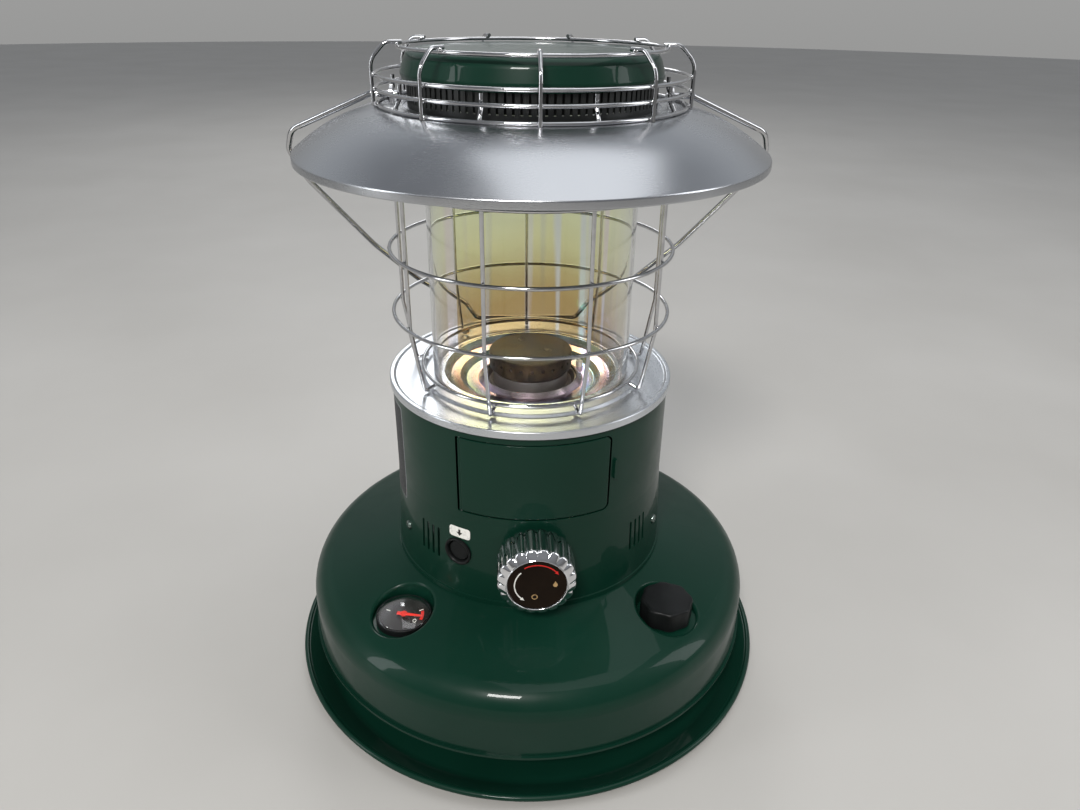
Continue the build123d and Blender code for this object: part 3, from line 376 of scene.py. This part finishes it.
def wick_cloth():
    """Woven wick, charred at its top edge."""
    made, tree, shader = material("wick_felt", Sheen_Weight=0.3)
    height = polar(tree)[2]
    weave = node(tree, "TexWave", {"Vector": place(tree), "Scale": 260.0, "Distortion": 1.5, "Detail": 2.0},
                 wave_type="BANDS", bands_direction="Z").outputs["Fac"]
    wander = span(tree, noise(tree, place(tree), 300.0, 4.0), 0.0, 1.0, -0.002, 0.002)
    ragged = maths(tree, "ADD", height, wander)
    wire_up(
        tree, shader,
        Base_Color=ramp(tree, span(tree, ragged, 0.222, 0.238), [
            (0.0, (0.72, 0.68, 0.58)), (0.45, (0.42, 0.32, 0.20)), (0.7, (0.05, 0.04, 0.03)),
            (1.0, (0.02, 0.018, 0.016)),
        ]),
        Roughness=span(tree, weave, 0.0, 1.0, 0.8, 0.95),
        Normal=bump(tree, weave, 0.0003, 0.6),
    )
    return made


FINISHES = {
    "green_enamel": green_enamel(),
    "black_steel": heat_black("black_steel", (0.008, 0.009, 0.009), (0.02, 0.02, 0.019)),
    "satin_stainless": spun_metal("satin_stainless", (0.58, 0.60, 0.63), (0.63, 0.65, 0.68), 0.25, 0.31,
                                  5200.0, 0.000006),
    # Painted shade: the shade bowl's copy of the stainless, darker than satin_stainless.
    "stainless_painted_shade": spun_metal("stainless_painted_shade", (0.44, 0.45, 0.47), (0.465, 0.475, 0.495), 0.245, 0.265,
                              5200.0, 0.0000015),
    "bright_wire": wire_metal("bright_wire", (0.52, 0.52, 0.53), 0.07, 0.16),
    "polished_steel": burner_steel(),
    "scorched_steel": scorched_steel(),
    "plain_steel": spun_metal("plain_steel", (0.34, 0.34, 0.35), (0.46, 0.46, 0.47), 0.3, 0.5, 900.0),
    "drawn_brass": spun_metal("drawn_brass", (0.52, 0.36, 0.15), (0.68, 0.49, 0.22), 0.24, 0.4),
    "knob_chrome": chrome(),
    "knob_face": moulded("knob_face", (0.006, 0.003, 0.0012), (0.010, 0.005, 0.002), 0.16, 0.26,
                         800.0, 0.00002, Specular_IOR_Level=0.08),
    "black_plastic": moulded("black_plastic", (0.004, 0.0045, 0.0045), (0.008, 0.009, 0.009), 0.34, 0.46,
                             Specular_IOR_Level=0.2),
    "dial_black": moulded("dial_black", (0.010, 0.008, 0.008), (0.022, 0.018, 0.017), 0.3, 0.42, 1500.0,
                          Specular_IOR_Level=0.3),
    "pointer_red": printed("pointer_red", (0.62, 0.03, 0.02)),
    "clear_glass": lens_plastic(),
    "rainbow_glass": chimney_glass(),
    "rainbow_film": chimney_coating(),
    "wick_felt": wick_cloth(),
    "black_rubber": moulded("black_rubber", (0.012, 0.012, 0.012), (0.022, 0.022, 0.021), 0.6, 0.75, 1200.0),
    "float_foam": moulded("float_foam", (0.03, 0.03, 0.03), (0.06, 0.06, 0.055), 0.7, 0.85, 700.0, 0.0002),
    "cell_wrap": moulded("cell_wrap", (0.06, 0.07, 0.09), (0.09, 0.10, 0.13), 0.25, 0.35, 900.0, 0.00002),
    "white_ceramic": moulded("white_ceramic", (0.72, 0.70, 0.66), (0.82, 0.80, 0.76), 0.25, 0.4, 900.0),
    "grey_iron": moulded("grey_iron", (0.10, 0.10, 0.10), (0.17, 0.165, 0.16), 0.5, 0.7, 700.0, 0.0002,
                         Metallic=0.7),
    "print_white": printed("print_white", (0.78, 0.77, 0.72)),
    "print_red": printed("print_red", (0.62, 0.02, 0.015)),
    "print_tan": printed("print_tan", (0.42, 0.27, 0.12)),
    "label_grey": printed("label_grey", (0.022, 0.024, 0.026), 0.5),
    "print_grey": printed("print_grey", (0.30, 0.31, 0.32), 0.5),
    "screw_steel": wire_metal("screw_steel", (0.62, 0.62, 0.63), 0.14, 0.3),
    "dull_screw": wire_metal("dull_screw", (0.17, 0.21, 0.19), 0.24, 0.38),
    "drum_black": heat_black("drum_black", (0.004, 0.005, 0.005), (0.012, 0.013, 0.012)),
}

# A node takes the finish of its slot, or a better one that its slot has no name for.
SLOT_OF = {part["node"]: part["material_slot"] for part in frame["record"]["subparts"]}
BETTER_LOOK = {"flame_spreader": "scorched_steel", "body_screws": "dull_screw", "hatch_catch": "green_enamel",
               "handle_brackets": "screw_steel", "heat_drum": "drum_black"}

for name, cad in NODES.items():
    look = BETTER_LOOK.get(name, SLOT_OF[name])
    for index in range(len(cad.data.materials)):
        cad.data.materials[index] = FINISHES[look]

# ---- Mesh helpers -------------------------------------------------------------------------------


def at(radius, azimuth, height):
    """Point in millimetres at a radius and an azimuth from the front."""
    turn = math.radians(azimuth)
    return Vector((radius * math.sin(turn), -radius * math.cos(turn), height))


def facing(radius, azimuth, height):
    """Frame on the outside of the body: X to the right seen from outside, Y up, Z straight out."""
    turn = math.radians(azimuth)
    axes = Matrix(((math.cos(turn), math.sin(turn), 0), (0, 0, 1), (math.sin(turn), -math.cos(turn), 0)))
    return Matrix.Translation(at(radius, azimuth, height)) @ axes.transposed().to_4x4()


def rounded(corners, bends, steps=8):
    """Points along a line whose inner corners are rounded by the given radii."""
    corners = [Vector(corner) for corner in corners]
    points = [corners[0]]
    for before, corner, after, bend in zip(corners, corners[1:], corners[2:], bends):
        back, onward = (before - corner).normalized(), (after - corner).normalized()
        half = back.angle(onward) / 2
        centre = corner + (back + onward).normalized() * bend / math.sin(half)
        start = corner + back * bend / math.tan(half) - centre
        end = corner + onward * bend / math.tan(half) - centre
        sweep = math.pi - 2 * half
        for step in range(steps + 1):
            part = sweep * step / steps
            points.append(centre + (start * math.sin(sweep - part) + end * math.sin(part)) / math.sin(sweep))
    return points + [corners[-1]]


def thicken(line, gauge):
    """Closed outline of a sheet: its line, and the same line moved to its left."""
    ways = [(after - before).normalized() for before, after in zip(line, line[1:])]
    moved = []
    for index, point in enumerate(line):
        before, after = ways[max(index - 1, 0)], ways[min(index, len(ways) - 1)]
        middle = (before + after).normalized()
        moved.append(point + Vector((-middle.y, middle.x)) * gauge / middle.dot(after))
    return line + moved[::-1]


def sheet(corners, bends, gauge=1.0, steps=6):
    """Closed outline of a pressed sheet with rounded bends."""
    return thicken(rounded(corners, bends, steps), gauge)


def arc(centre, radius, start, end, steps):
    """Points on an arc in a section, in degrees from outwards towards up."""
    turns = [math.radians(start + (end - start) * step / steps) for step in range(steps + 1)]
    return [Vector((centre[0] + radius * math.cos(turn), centre[1] + radius * math.sin(turn)))
            for turn in turns]


def lathe(outline, turns=192, matrix=None, wave=None, build=None):
    """Turns a closed outline of (radius, height) points about the frame's Z. A third value of a point scales
    wave(turn), which is added to its radius."""
    build = bmesh.new() if build is None else build
    matrix = Matrix() if matrix is None else matrix
    rings = []
    for radius, height, *depth in outline:
        ring = []
        for step in range(turns if radius > 0 else 1):
            turn = math.tau * step / turns
            reach = radius + (depth[0] * wave(turn) if depth else 0.0)
            spot = Vector((reach * math.cos(turn), reach * math.sin(turn), height))
            ring.append(build.verts.new(matrix @ spot))
        rings.append(ring)
    for ring, after in zip(rings, rings[1:] + rings[:1]):
        for step in range(turns):
            corners = [ring[step % len(ring)], after[step % len(after)],
                       after[(step + 1) % len(after)], ring[(step + 1) % len(ring)]]
            corners = list(dict.fromkeys(corners))
            if len(corners) > 2:
                build.faces.new(corners)
    return build


def prism(build, outline, low, high, matrix):
    """A flat shape in a frame's XY plane, from low to high along its Z."""
    floor_ring, roof_ring = ([build.verts.new(matrix @ Vector((*point, level))) for point in outline]
                             for level in (low, high))
    build.faces.new(floor_ring[::-1])
    build.faces.new(roof_ring)
    for step, corner in enumerate(floor_ring):
        following = (step + 1) % len(outline)
        build.faces.new((corner, floor_ring[following], roof_ring[following], roof_ring[step]))


def arrow_arc(radius, width, start, end, head):
    """Outline of an arc with an arrowhead at its end, in degrees counter-clockwise from X."""
    way = 1 if end > start else -1
    neck = end - way * math.degrees(head / radius)
    outer = arc((0, 0), radius + width / 2, start, neck, 40)
    inner = arc((0, 0), radius - width / 2, neck, start, 40)
    wings = [arc((0, 0), radius + reach, neck, neck, 1)[0] for reach in (width * 1.5, -width * 1.5)]
    return outer + [wings[0], arc((0, 0), radius, end, end, 1)[0], wings[1]] + inner


def body_radius(height):
    """Outer radius of the body's wall, which tapers below the hatch."""
    return BODY_R + BODY_FLARE * max(0.0, TAPER_TOP - height) / TAPER_TALL


def patch(azimuth, half, low, high, lift, gauge, bends, edge=0.5):
    """A curved plate on the body's wall, with rounded corners and a rounded front edge. half is half its
    chord, lift its height over the wall, and bends its left and right corner radii."""
    build = bmesh.new()
    tall = (high - low) / 2
    fine = max(bends)
    shares = (0.0, 0.03, 0.07, 0.13, 0.22, 0.36, 0.52, 0.7, 0.85)

    def lines(reach):
        ends = [reach - fine * share for share in shares]
        inner = [(reach - fine) * (1 - step / 12) for step in range(25)]
        return ends + inner + [-end for end in reversed(ends)]

    def spot(across, up, back):
        bend = bends[0] if across < 0 else bends[1]
        over = Vector((abs(across) - half + bend, abs(up) - tall + bend))
        inset = min(half - abs(across), tall - abs(up))
        if min(over) > 0:
            over *= max(over) / over.length
            inset = bend - over.length
            across = math.copysign(half - bend + over.x, across)
            up = math.copysign(tall - bend + over.y, up)
        near = edge - min(max(inset, 0.0), edge)
        drop = edge - math.sqrt(edge**2 - near**2)
        height = (low + high) / 2 + up
        radius = body_radius(height) + lift - (gauge if back else drop)
        return at(radius, azimuth + math.degrees(math.asin(across / BODY_R)), height)

    front, rear = ([[build.verts.new(spot(across, up, back)) for across in lines(half)] for up in lines(tall)]
                   for back in (False, True))
    last_row, last_column = len(front) - 1, len(front[0]) - 1
    for side in (front, rear):
        for row in range(last_row):
            for column in range(last_column):
                build.faces.new((side[row][column], side[row][column + 1],
                                 side[row + 1][column + 1], side[row + 1][column]))
    border = [(0, column) for column in range(last_column)] + [(row, last_column) for row in range(last_row)]
    border += [(last_row, column) for column in range(last_column, 0, -1)]
    border += [(row, 0) for row in range(last_row, 0, -1)]
    for (row, column), (next_row, next_column) in zip(border, border[1:] + border[:1]):
        build.faces.new((front[row][column], front[next_row][next_column],
                         rear[next_row][next_column], rear[row][column]))
    return build


def make_piece(name, build, body, look, nodes=(), sharp=38.0):
    """A piece from a mesh in millimetres. It rides on a body, takes a finish, and stands for
    nodes. Edges sharper than sharp degrees stay hard."""
    bmesh.ops.recalc_face_normals(build, faces=build.faces)
    mesh = bpy.data.meshes.new(name)
    build.to_mesh(mesh)
    build.free()
    mesh.transform(Matrix.Scale(MM, 4))
    mesh.shade_smooth()
    mesh.set_sharp_from_angle(angle=math.radians(sharp))
    mesh.materials.append(FINISHES[look])
    piece = bpy.data.objects.new(name, mesh)
    bpy.context.scene.collection.objects.link(piece)
    level = piece.modifiers.new("level_shading", "WEIGHTED_NORMAL")
    level.keep_sharp = True
    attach(piece, body)
    if nodes:
        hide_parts(*nodes)
    return piece


# ---- Tray, plate, burner, shade and cap ---------------------------------------------------------
tray_outline = rounded([(0, 0), (174, 0), (188.9, 9.4)], [14], 10)
tray_outline += arc((191.8, 10.0), 2.2, 210, 520, 20)
tray_outline += rounded([(188.6, 10.6), (173.6, 1.0), (0, 1.0)], [13], 10)
make_piece("tray", lathe(tray_outline, 320), "heater", "green_enamel", ["drip_tray"])

plate_outline = sheet(
    [(105.6, 243.4), (105.6, 248.8), (102.6, 248.8), (101, 247.6), (83.4, 247.6), (81.4, 249.4), (69, 249.4)],
    [0.9, 0.9, 1.2, 1.0, 1.0],
)
make_piece("rim_plate", lathe(plate_outline, 256), "heater", "satin_stainless", ["top_plate"])

dish_outline = sheet(
    [(68.8, 249.4), (64.6, 249.4), (60.4, 245.0), (53, 243.6), (48.8, 240.2), (39.4, 239.6), (35.6, 243.2)],
    [1.3, 1.8, 1.5, 1.8, 1.6], steps=8,
)
make_piece("burner_pressing", lathe(dish_outline, 256), "heater", "polished_steel", ["burner_dish"])

# The walls have a ring close to each end, so that the rounded ends don't bend the shading of the walls.
glass = lathe([
    (GLASS_IN, 250.3), (70.3, 249.6), (71.5, 249.4), (72.7, 249.6), (GLASS_OUT, 250.3), (GLASS_OUT, 250.8),
    (GLASS_OUT, 432.6), (GLASS_OUT, 433.1), (72.7, 433.8), (71.5, 434.0), (70.3, 433.8), (GLASS_IN, 433.1),
    (GLASS_IN, 432.6), (GLASS_IN, 250.8),
])
chimney = make_piece("chimney", glass, "heater", "rainbow_glass", ["glass_chimney"])
chimney.data.materials.append(FINISHES["rainbow_film"])
for face in chimney.data.polygons:
    spot = face.center
    face.material_index = 1 if math.hypot(spot.x, spot.y) < (GLASS_IN + 0.2) * MM else 0

# The shade is a shallow spun bowl with a turned-down rim and a small hem.
crown = arc((71.61, 309.70), 130.31, 50.3, 76.29, 30)
shade_line = rounded([(156, 404.9), (156, 408.9), crown[0]], [1.6], 8)[:-1] + crown
shade_line += rounded([crown[-1], (101.5, 436.3), (84, 436.3)], [1.0], 3)[1:]
hem = arc((155.1, 404.9), 0.9, 180, 360, 8)
# The bowl takes the darker copy of the stainless, with shade painted in.
make_piece("shade_bowl", lathe(hem[:-1] + thicken(shade_line, 0.9), 320), "heater", "stainless_painted_shade", ["shade"])

# The baffle's disc has a skirt down inside the drum: a dark sheet of painted shade, put in so no light shows
# through the slits.
baffle = lathe([(0, 463.0), (72.6, 463.0), (73.4, 462.2), (73.4, 438.6), (74.2, 438.6), (74.2, 462.6),
                (73.2, 464.0), (0, 464.0)])
for turn in (90, 210, 330):
    lathe([(0, 463.6), (5.0, 463.6), (5.0, 467.4), (4.8, 467.6), (0, 467.6)], 48,
          Matrix.Translation(at(50.0, turn, 0)), build=baffle)
make_piece("drum_baffle_dark_skirt", baffle, "heater", "drum_black", ["heat_baffle"])

cap_outline = sheet([(83.4, 451.4), (84.8, 455.4), (80.5, 469.6), (0, 469.6)], [4, 9], steps=12)
make_piece("drum_lid", lathe(cap_outline, 256), "heater", "green_enamel", ["top_cap"])

# ---- Knob ---------------------------------------------------------------------------------------
KNOB_FRONT = facing(0, 0, KNOB_Z)


def flute(turn):
    """Depth of a flute at a turn, from 0 on a ridge to -1 in a valley."""
    across = abs((turn / math.tau * FLUTES) % 1.0 - 0.5) * 2
    return -across**3


knob_rows = [(3.2, 107.5), (26.0, 107.5, 1.2), (26.9, 107.7, 1.6), (27.3, 108.3, 1.7), (27.4, 109.2, 1.7)]
knob_rows += [(27.4 - 0.3 * step / 6, 109.2 + 21.4 * step / 6, 1.7) for step in range(1, 7)]
knob_rows += [(26.95, 131.3, 1.7), (26.5, 131.9, 1.6), (25.8, 132.5, 1.35), (24.0, 133.6, 0.8),
              (22.3, 134.65, 0.3), (21.4, 135.0, 0.08), (21.1, 135.15), (21.0, 135.4), (20.75, 135.5),
              (20.5, 135.4), (20.35, 135.1), (20.3, 134.4), (3.2, 134.2)]
make_piece("knob_grip", lathe(knob_rows, FLUTES * 18, KNOB_FRONT, flute), "knob", "knob_chrome", ["knob"],
           sharp=50)

face_rows = [(0, 134.0), (20.2, 134.0), (20.2, 134.5), (19.9, 134.65), (19.0, 134.7), (0, 134.8)]
make_piece("knob_disc", lathe(face_rows, 96, KNOB_FRONT), "knob", "knob_face", ["knob_insert"])

PRINT = (134.7, 134.88)
off_arc, on_arc, marks = bmesh.new(), bmesh.new(), bmesh.new()
prism(off_arc, arrow_arc(15.2, 0.8, 135, 236, 2.8), *PRINT, KNOB_FRONT)
make_piece("knob_off_arc", off_arc, "knob", "print_white")
prism(on_arc, arrow_arc(16.8, 0.8, 120.5, 31, 2.8), *PRINT, KNOB_FRONT)
make_piece("knob_on_arc", on_arc, "knob", "print_red")
flame = [(12.2, 3.3), (13.1, 1.9), (13.8, 0.8), (13.8, -0.4), (13.1, -1.3), (12.1, -1.5), (11.1, -0.9),
         (10.7, 0.2), (11.2, 1.2), (11.8, 1.9)]
prism(marks, flame, *PRINT, KNOB_FRONT)
ring_frame = KNOB_FRONT @ Matrix.Translation((-1.6, -9.8, 0))
low, high = PRINT
lathe([(1.5, low), (1.5, high), (2.1, high), (2.1, low)], 36, ring_frame, build=marks)
make_piece("knob_marks", marks, "knob", "print_tan")

# ---- Filler cap ---------------------------------------------------------------------------------
CAP_FRAME = Matrix.Translation(at(140.0, 44.6, -3.0))
cap_rows = [(15.1, 91.3), (18.4, 91.3, 0.6), (18.75, 91.7, 0.6), (18.75, 105.0, 0.6), (18.6, 105.8, 0.6),
            (18.15, 106.5, 0.55), (17.4, 106.85, 0.5), (15.6, 106.95, 0.3), (9.0, 107.0), (0, 107.0),
            (0, 99.7), (15.1, 99.7)]
make_piece("filler_knob", lathe(cap_rows, 160, CAP_FRAME, lambda turn: math.cos(8 * turn)), "filler_cap",
           "black_plastic", ["filler_cap"])

# ---- Gauge --------------------------------------------------------------------------------------
GAUGE_FRAME = Matrix.Translation(at(135.5, -45.3, -3.0))
DOME_BALL = 29.83
bezel_rows = [(19.25, 91.6), (20.4, 91.6), (20.4, 94.2), (20.2, 94.8), (19.8, 95.05), (19.4, 94.95),
              (19.25, 94.6)]
make_piece("gauge_rim", lathe(bezel_rows, 128, GAUGE_FRAME), "heater", "black_plastic", ["gauge_bezel"])

dome_centre = (0, 95.0 + 7.0 - DOME_BALL)
dome_rows = arc(dome_centre, DOME_BALL, 90, 50.0, 24)
dome_rows += [Vector((19.2, 94.9)), Vector((19.2, 91.7)), Vector((18.0, 91.7))]
dome_rows += arc(dome_centre, DOME_BALL - 1.2, 51.0, 90, 24)
dome_rows[0].x = dome_rows[-1].x = 0.0
make_piece("gauge_dome", lathe(dome_rows, 128, GAUGE_FRAME), "heater", "clear_glass", ["gauge_lens"])

dial_frame = GAUGE_FRAME @ Matrix.Translation((0, 0, 92.4))
ticks, red_zone = bmesh.new(), bmesh.new()
for turn in (155, 22):
    mark = dial_frame @ Matrix.Rotation(math.radians(turn), 4, "Z")
    prism(ticks, [(11.6, -0.35), (14.8, -0.35), (14.8, 0.35), (11.6, 0.35)], 0.0, 0.12, mark)
zero = dial_frame @ Matrix.Translation((8.2, -6.2, 0)) @ Matrix.Diagonal((0.72, 1.0, 1.0, 1.0))
lathe([(1.35, 0.0), (1.35, 0.12), (1.9, 0.12), (1.9, 0.0)], 36, zero, build=ticks)
make_piece("gauge_ticks", ticks, "heater", "print_white")
prism(red_zone, arc((0, 0), 14.6, -22, 16, 10) + arc((0, 0), 12.4, 16, -22, 10), 0.0, 0.12, dial_frame)
make_piece("gauge_red_zone", red_zone, "heater", "print_red")

# ---- Hatch, battery lid and labels --------------------------------------------------------------
for name, node_name in (("hatch_door", "front_hatch"), ("battery_door", "battery_lid")):
    azimuth, half = DOOR_AZIMUTH[node_name], DOOR_HALF[node_name]
    door = patch(azimuth, half, DOOR_LOW, DOOR_HIGH, 0.0, 1.0, (0.8, 4.0))
    hinge = azimuth - math.degrees(math.asin(half / HINGE_R))
    lathe([(0, DOOR_LOW), (1.2, DOOR_LOW), (1.5, DOOR_LOW + 0.3), (1.5, DOOR_HIGH - 0.3), (1.2, DOOR_HIGH),
           (0, DOOR_HIGH)], 32, Matrix.Translation(at(HINGE_R, hinge, 0)), build=door)
    make_piece(name, door, node_name, "green_enamel", [node_name])

make_piece("rating_border", patch(PLATE_AZIMUTH, 29.5, 158.0, 235.0, 0.12, 0.3, (2.0, 2.0), 0.1), "heater",
           "print_grey")
make_piece("rating_plate", patch(PLATE_AZIMUTH, 29.0, 158.5, 234.5, 0.2, 0.3, (1.5, 1.5), 0.1), "heater",
           "label_grey")
label = patch(LABEL_AZIMUTH, 8.6, LABEL_Z - 4.3, LABEL_Z + 4.3, 0.2, 0.4, (2.2, 2.2), 0.15)
make_piece("button_label", label, "heater", "print_white")
arrow = bmesh.new()
prism(arrow, [(-0.8, 2.6), (0.8, 2.6), (0.8, 0.2), (2.4, 0.2), (0.0, -2.6), (-2.4, 0.2), (-0.8, 0.2)],
      0.1, 0.32, facing(body_radius(LABEL_Z), LABEL_AZIMUTH, LABEL_Z))
make_piece("button_arrow", arrow, "heater", "dial_black")

# ---- Screws and button --------------------------------------------------------------------------


def screw_head(azimuth, build):
    """A domed head with a cross recess, from a round grid of points."""
    seat = facing(body_radius(SCREW_Z), azimuth, SCREW_Z)
    reach, circles, turns = 3.6, 26, 96
    rings = []
    for ring in range(1, circles + 1):
        radius = reach * ring / circles
        row = []
        for step in range(turns):
            turn = math.tau * step / turns
            across, up = radius * math.cos(turn), radius * math.sin(turn)
            dome = 0.5 + 1.55 * math.sqrt(max(0.0, 1 - (radius / reach)**2 * 0.97))
            arm = min(abs(across), abs(up))
            depth = max(0.0, min(1.0, (0.62 - arm) / 0.2)) * max(0.0, min(1.0, (2.3 - radius) / 0.35))
            row.append(build.verts.new(seat @ Vector((across, up, dome - 0.95 * depth))))
        rings.append(row)
    middle = build.verts.new(seat @ Vector((0, 0, 1.1)))
    skirt = []
    for step in range(turns):
        turn = math.tau * step / turns
        skirt.append(build.verts.new(seat @ Vector((reach * math.cos(turn), reach * math.sin(turn), -0.6))))
    for row, after in zip(rings, rings[1:] + [skirt]):
        for step in range(turns):
            following = (step + 1) % turns
            build.faces.new((row[step], row[following], after[following], after[step]))
    for step in range(turns):
        build.faces.new((middle, rings[0][(step + 1) % turns], rings[0][step]))
    build.faces.new(skirt)


screws = bmesh.new()
for azimuth in SCREW_AZIMUTHS:
    screw_head(azimuth, screws)
make_piece("wall_screws", screws, "heater", "dull_screw", ["body_screws"], sharp=60)

BUTTON_FRAME = facing(0, BUTTON_AZIMUTH, BUTTON_Z)
rim_rows = [(9.6, 84.0), (9.6, 103.2), (11.0, 103.2), (11.0, 105.3), (10.8, 105.9), (10.3, 106.2),
            (9.6, 106.15), (9.0, 105.8), (8.6, 105.0), (8.4, 104.0), (8.4, 84.0)]
make_piece("button_rim", lathe(rim_rows, 96, BUTTON_FRAME), "heater", "black_plastic", ["button_bezel"])

# ---- Weld beads ---------------------------------------------------------------------------------


def beads(name, spots):
    """Small weld beads where wires cross."""
    build = bmesh.new()
    for index, (radius, azimuth, height) in enumerate(spots):
        swell = 1.0 + 0.12 * math.sin(2.4 * index)
        bead = facing(radius, azimuth, height) @ Matrix.Diagonal((1.75 * swell, 1.75, 1.25, 1))
        bmesh.ops.create_icosphere(build, subdivisions=2, radius=1.0, matrix=bead)
    make_piece(name, build, "heater", "bright_wire")


lower_turns = [20 + 40 * count for count in range(9)]
crown_turns = [40 * count for count in range(9)]
beads("lower_welds", [(97.75, turn, height) for height in (298.1, 343.5, 390.0) for turn in lower_turns]
      + [(80.0, turn, 253.6) for turn in lower_turns])
beads("crown_welds", [(101.0, turn, height) for height in (437.6, 446.6, 454.8) for turn in crown_turns]
      + [(85.4, turn, 472.0) for turn in crown_turns])

# ---- Stage --------------------------------------------------------------------------------------
floor_mesh = bpy.data.meshes.new("floor")
floor_build = bmesh.new()
bmesh.ops.create_circle(floor_build, cap_ends=True, segments=96, radius=9.0)
floor_build.to_mesh(floor_mesh)
floor_build.free()
floor = bpy.data.objects.new("floor", floor_mesh)
bpy.context.scene.collection.objects.link(floor)
floor_look, floor_tree, floor_shader = material("floor_look", Roughness=0.5)
wire_up(floor_tree, floor_shader, Base_Color=mix(
    floor_tree, span(floor_tree, noise(floor_tree, place(floor_tree), 3.0, 4.0), 0.3, 0.7),
    (0.43, 0.415, 0.39), (0.47, 0.455, 0.43),
))
floor_mesh.materials.append(floor_look)

world = bpy.data.worlds.new("studio")
bpy.context.scene.world = world
world.use_nodes = True
sky = world.node_tree
way = node(sky, "SeparateXYZ", {"Vector": node(sky, "TexCoord").outputs["Generated"]}).outputs
lift = span(sky, way["Z"], -0.2, 1.0)
far_side = ramp(sky, lift, [
    (0.0, (0.34, 0.34, 0.335)), (0.17, (0.42, 0.42, 0.415)), (0.32, (0.44, 0.445, 0.45)),
    (0.50, (0.66, 0.69, 0.72)), (0.62, (0.60, 0.63, 0.67)), (0.80, (0.34, 0.36, 0.39)),
    (1.0, (0.30, 0.32, 0.35)),
])
near_side = ramp(sky, lift, [
    (0.0, (0.16, 0.155, 0.15)), (0.17, (0.20, 0.20, 0.20)), (0.45, (0.30, 0.31, 0.33)),
    (1.0, (0.30, 0.31, 0.33)),
])
sky_colour = mix(sky, span(sky, way["Y"], -0.5, 0.6, smooth=True), near_side, far_side)
sky.links.new(sky_colour, sky.nodes["Background"].inputs["Color"])
sky.nodes["Background"].inputs["Strength"].default_value = 0.8


def softbox(name, spot, target, size, power, colour=(1, 1, 1)):
    """A rectangular studio light at spot that faces target."""
    data = bpy.data.lights.new(name, "AREA")
    data.shape = "RECTANGLE"
    data.size, data.size_y = size
    data.energy = power
    data.color = colour
    lamp = bpy.data.objects.new(name, data)
    bpy.context.scene.collection.objects.link(lamp)
    lamp.visible_camera = False
    lamp.location = spot
    lamp.rotation_euler = (Vector(target) - Vector(spot)).to_track_quat("-Z", "Y").to_euler()


bpy.context.scene.view_settings.view_transform = "Standard"
softbox("key", (-0.5, -1.9, 2.1), (0, 0, 0.25), (0.6, 0.38), 56, (1.0, 0.985, 0.96))
softbox("top", (0.5, 0.05, 2.8), (0, 0, 0.3), (2.9, 1.9), 22, (0.96, 0.98, 1.0))
softbox("right", (2.0, -0.4, 1.2), (0, 0, 0.25), (0.6, 1.6), 12, (0.97, 0.98, 1.0))
softbox("back", (-0.2, 2.7, 2.0), (0, 1.4, 0.0), (1.1, 1.0), 18, (0.98, 0.99, 1.0))
softbox("left", (-1.9, -0.6, 0.9), (0, 0, 0.3), (0.35, 1.5), 10, (0.95, 0.98, 1.0))

# ---- Camera -------------------------------------------------------------------------------------
CAMERA_LENS = 26.674
CAMERA_SENSOR = 36.0
CAMERA_SPOT = (-0.02325, -0.55470, 0.50184)
CAMERA_FORWARD = Vector((0.04952, 0.88675, -0.45960)).normalized()
CAMERA_RIGHT = Vector((0.99871, -0.04913, 0.01281)).normalized()

camera_data = bpy.data.cameras.new("camera")
camera_data.lens = CAMERA_LENS
camera_data.sensor_width = CAMERA_SENSOR
camera = bpy.data.objects.new("camera", camera_data)
bpy.context.scene.collection.objects.link(camera)
above = CAMERA_RIGHT.cross(CAMERA_FORWARD)
camera_axes = Matrix((CAMERA_RIGHT, above, -CAMERA_FORWARD)).transposed().to_4x4()
camera.matrix_world = Matrix.Translation(CAMERA_SPOT) @ camera_axes
bpy.context.scene.camera = camera
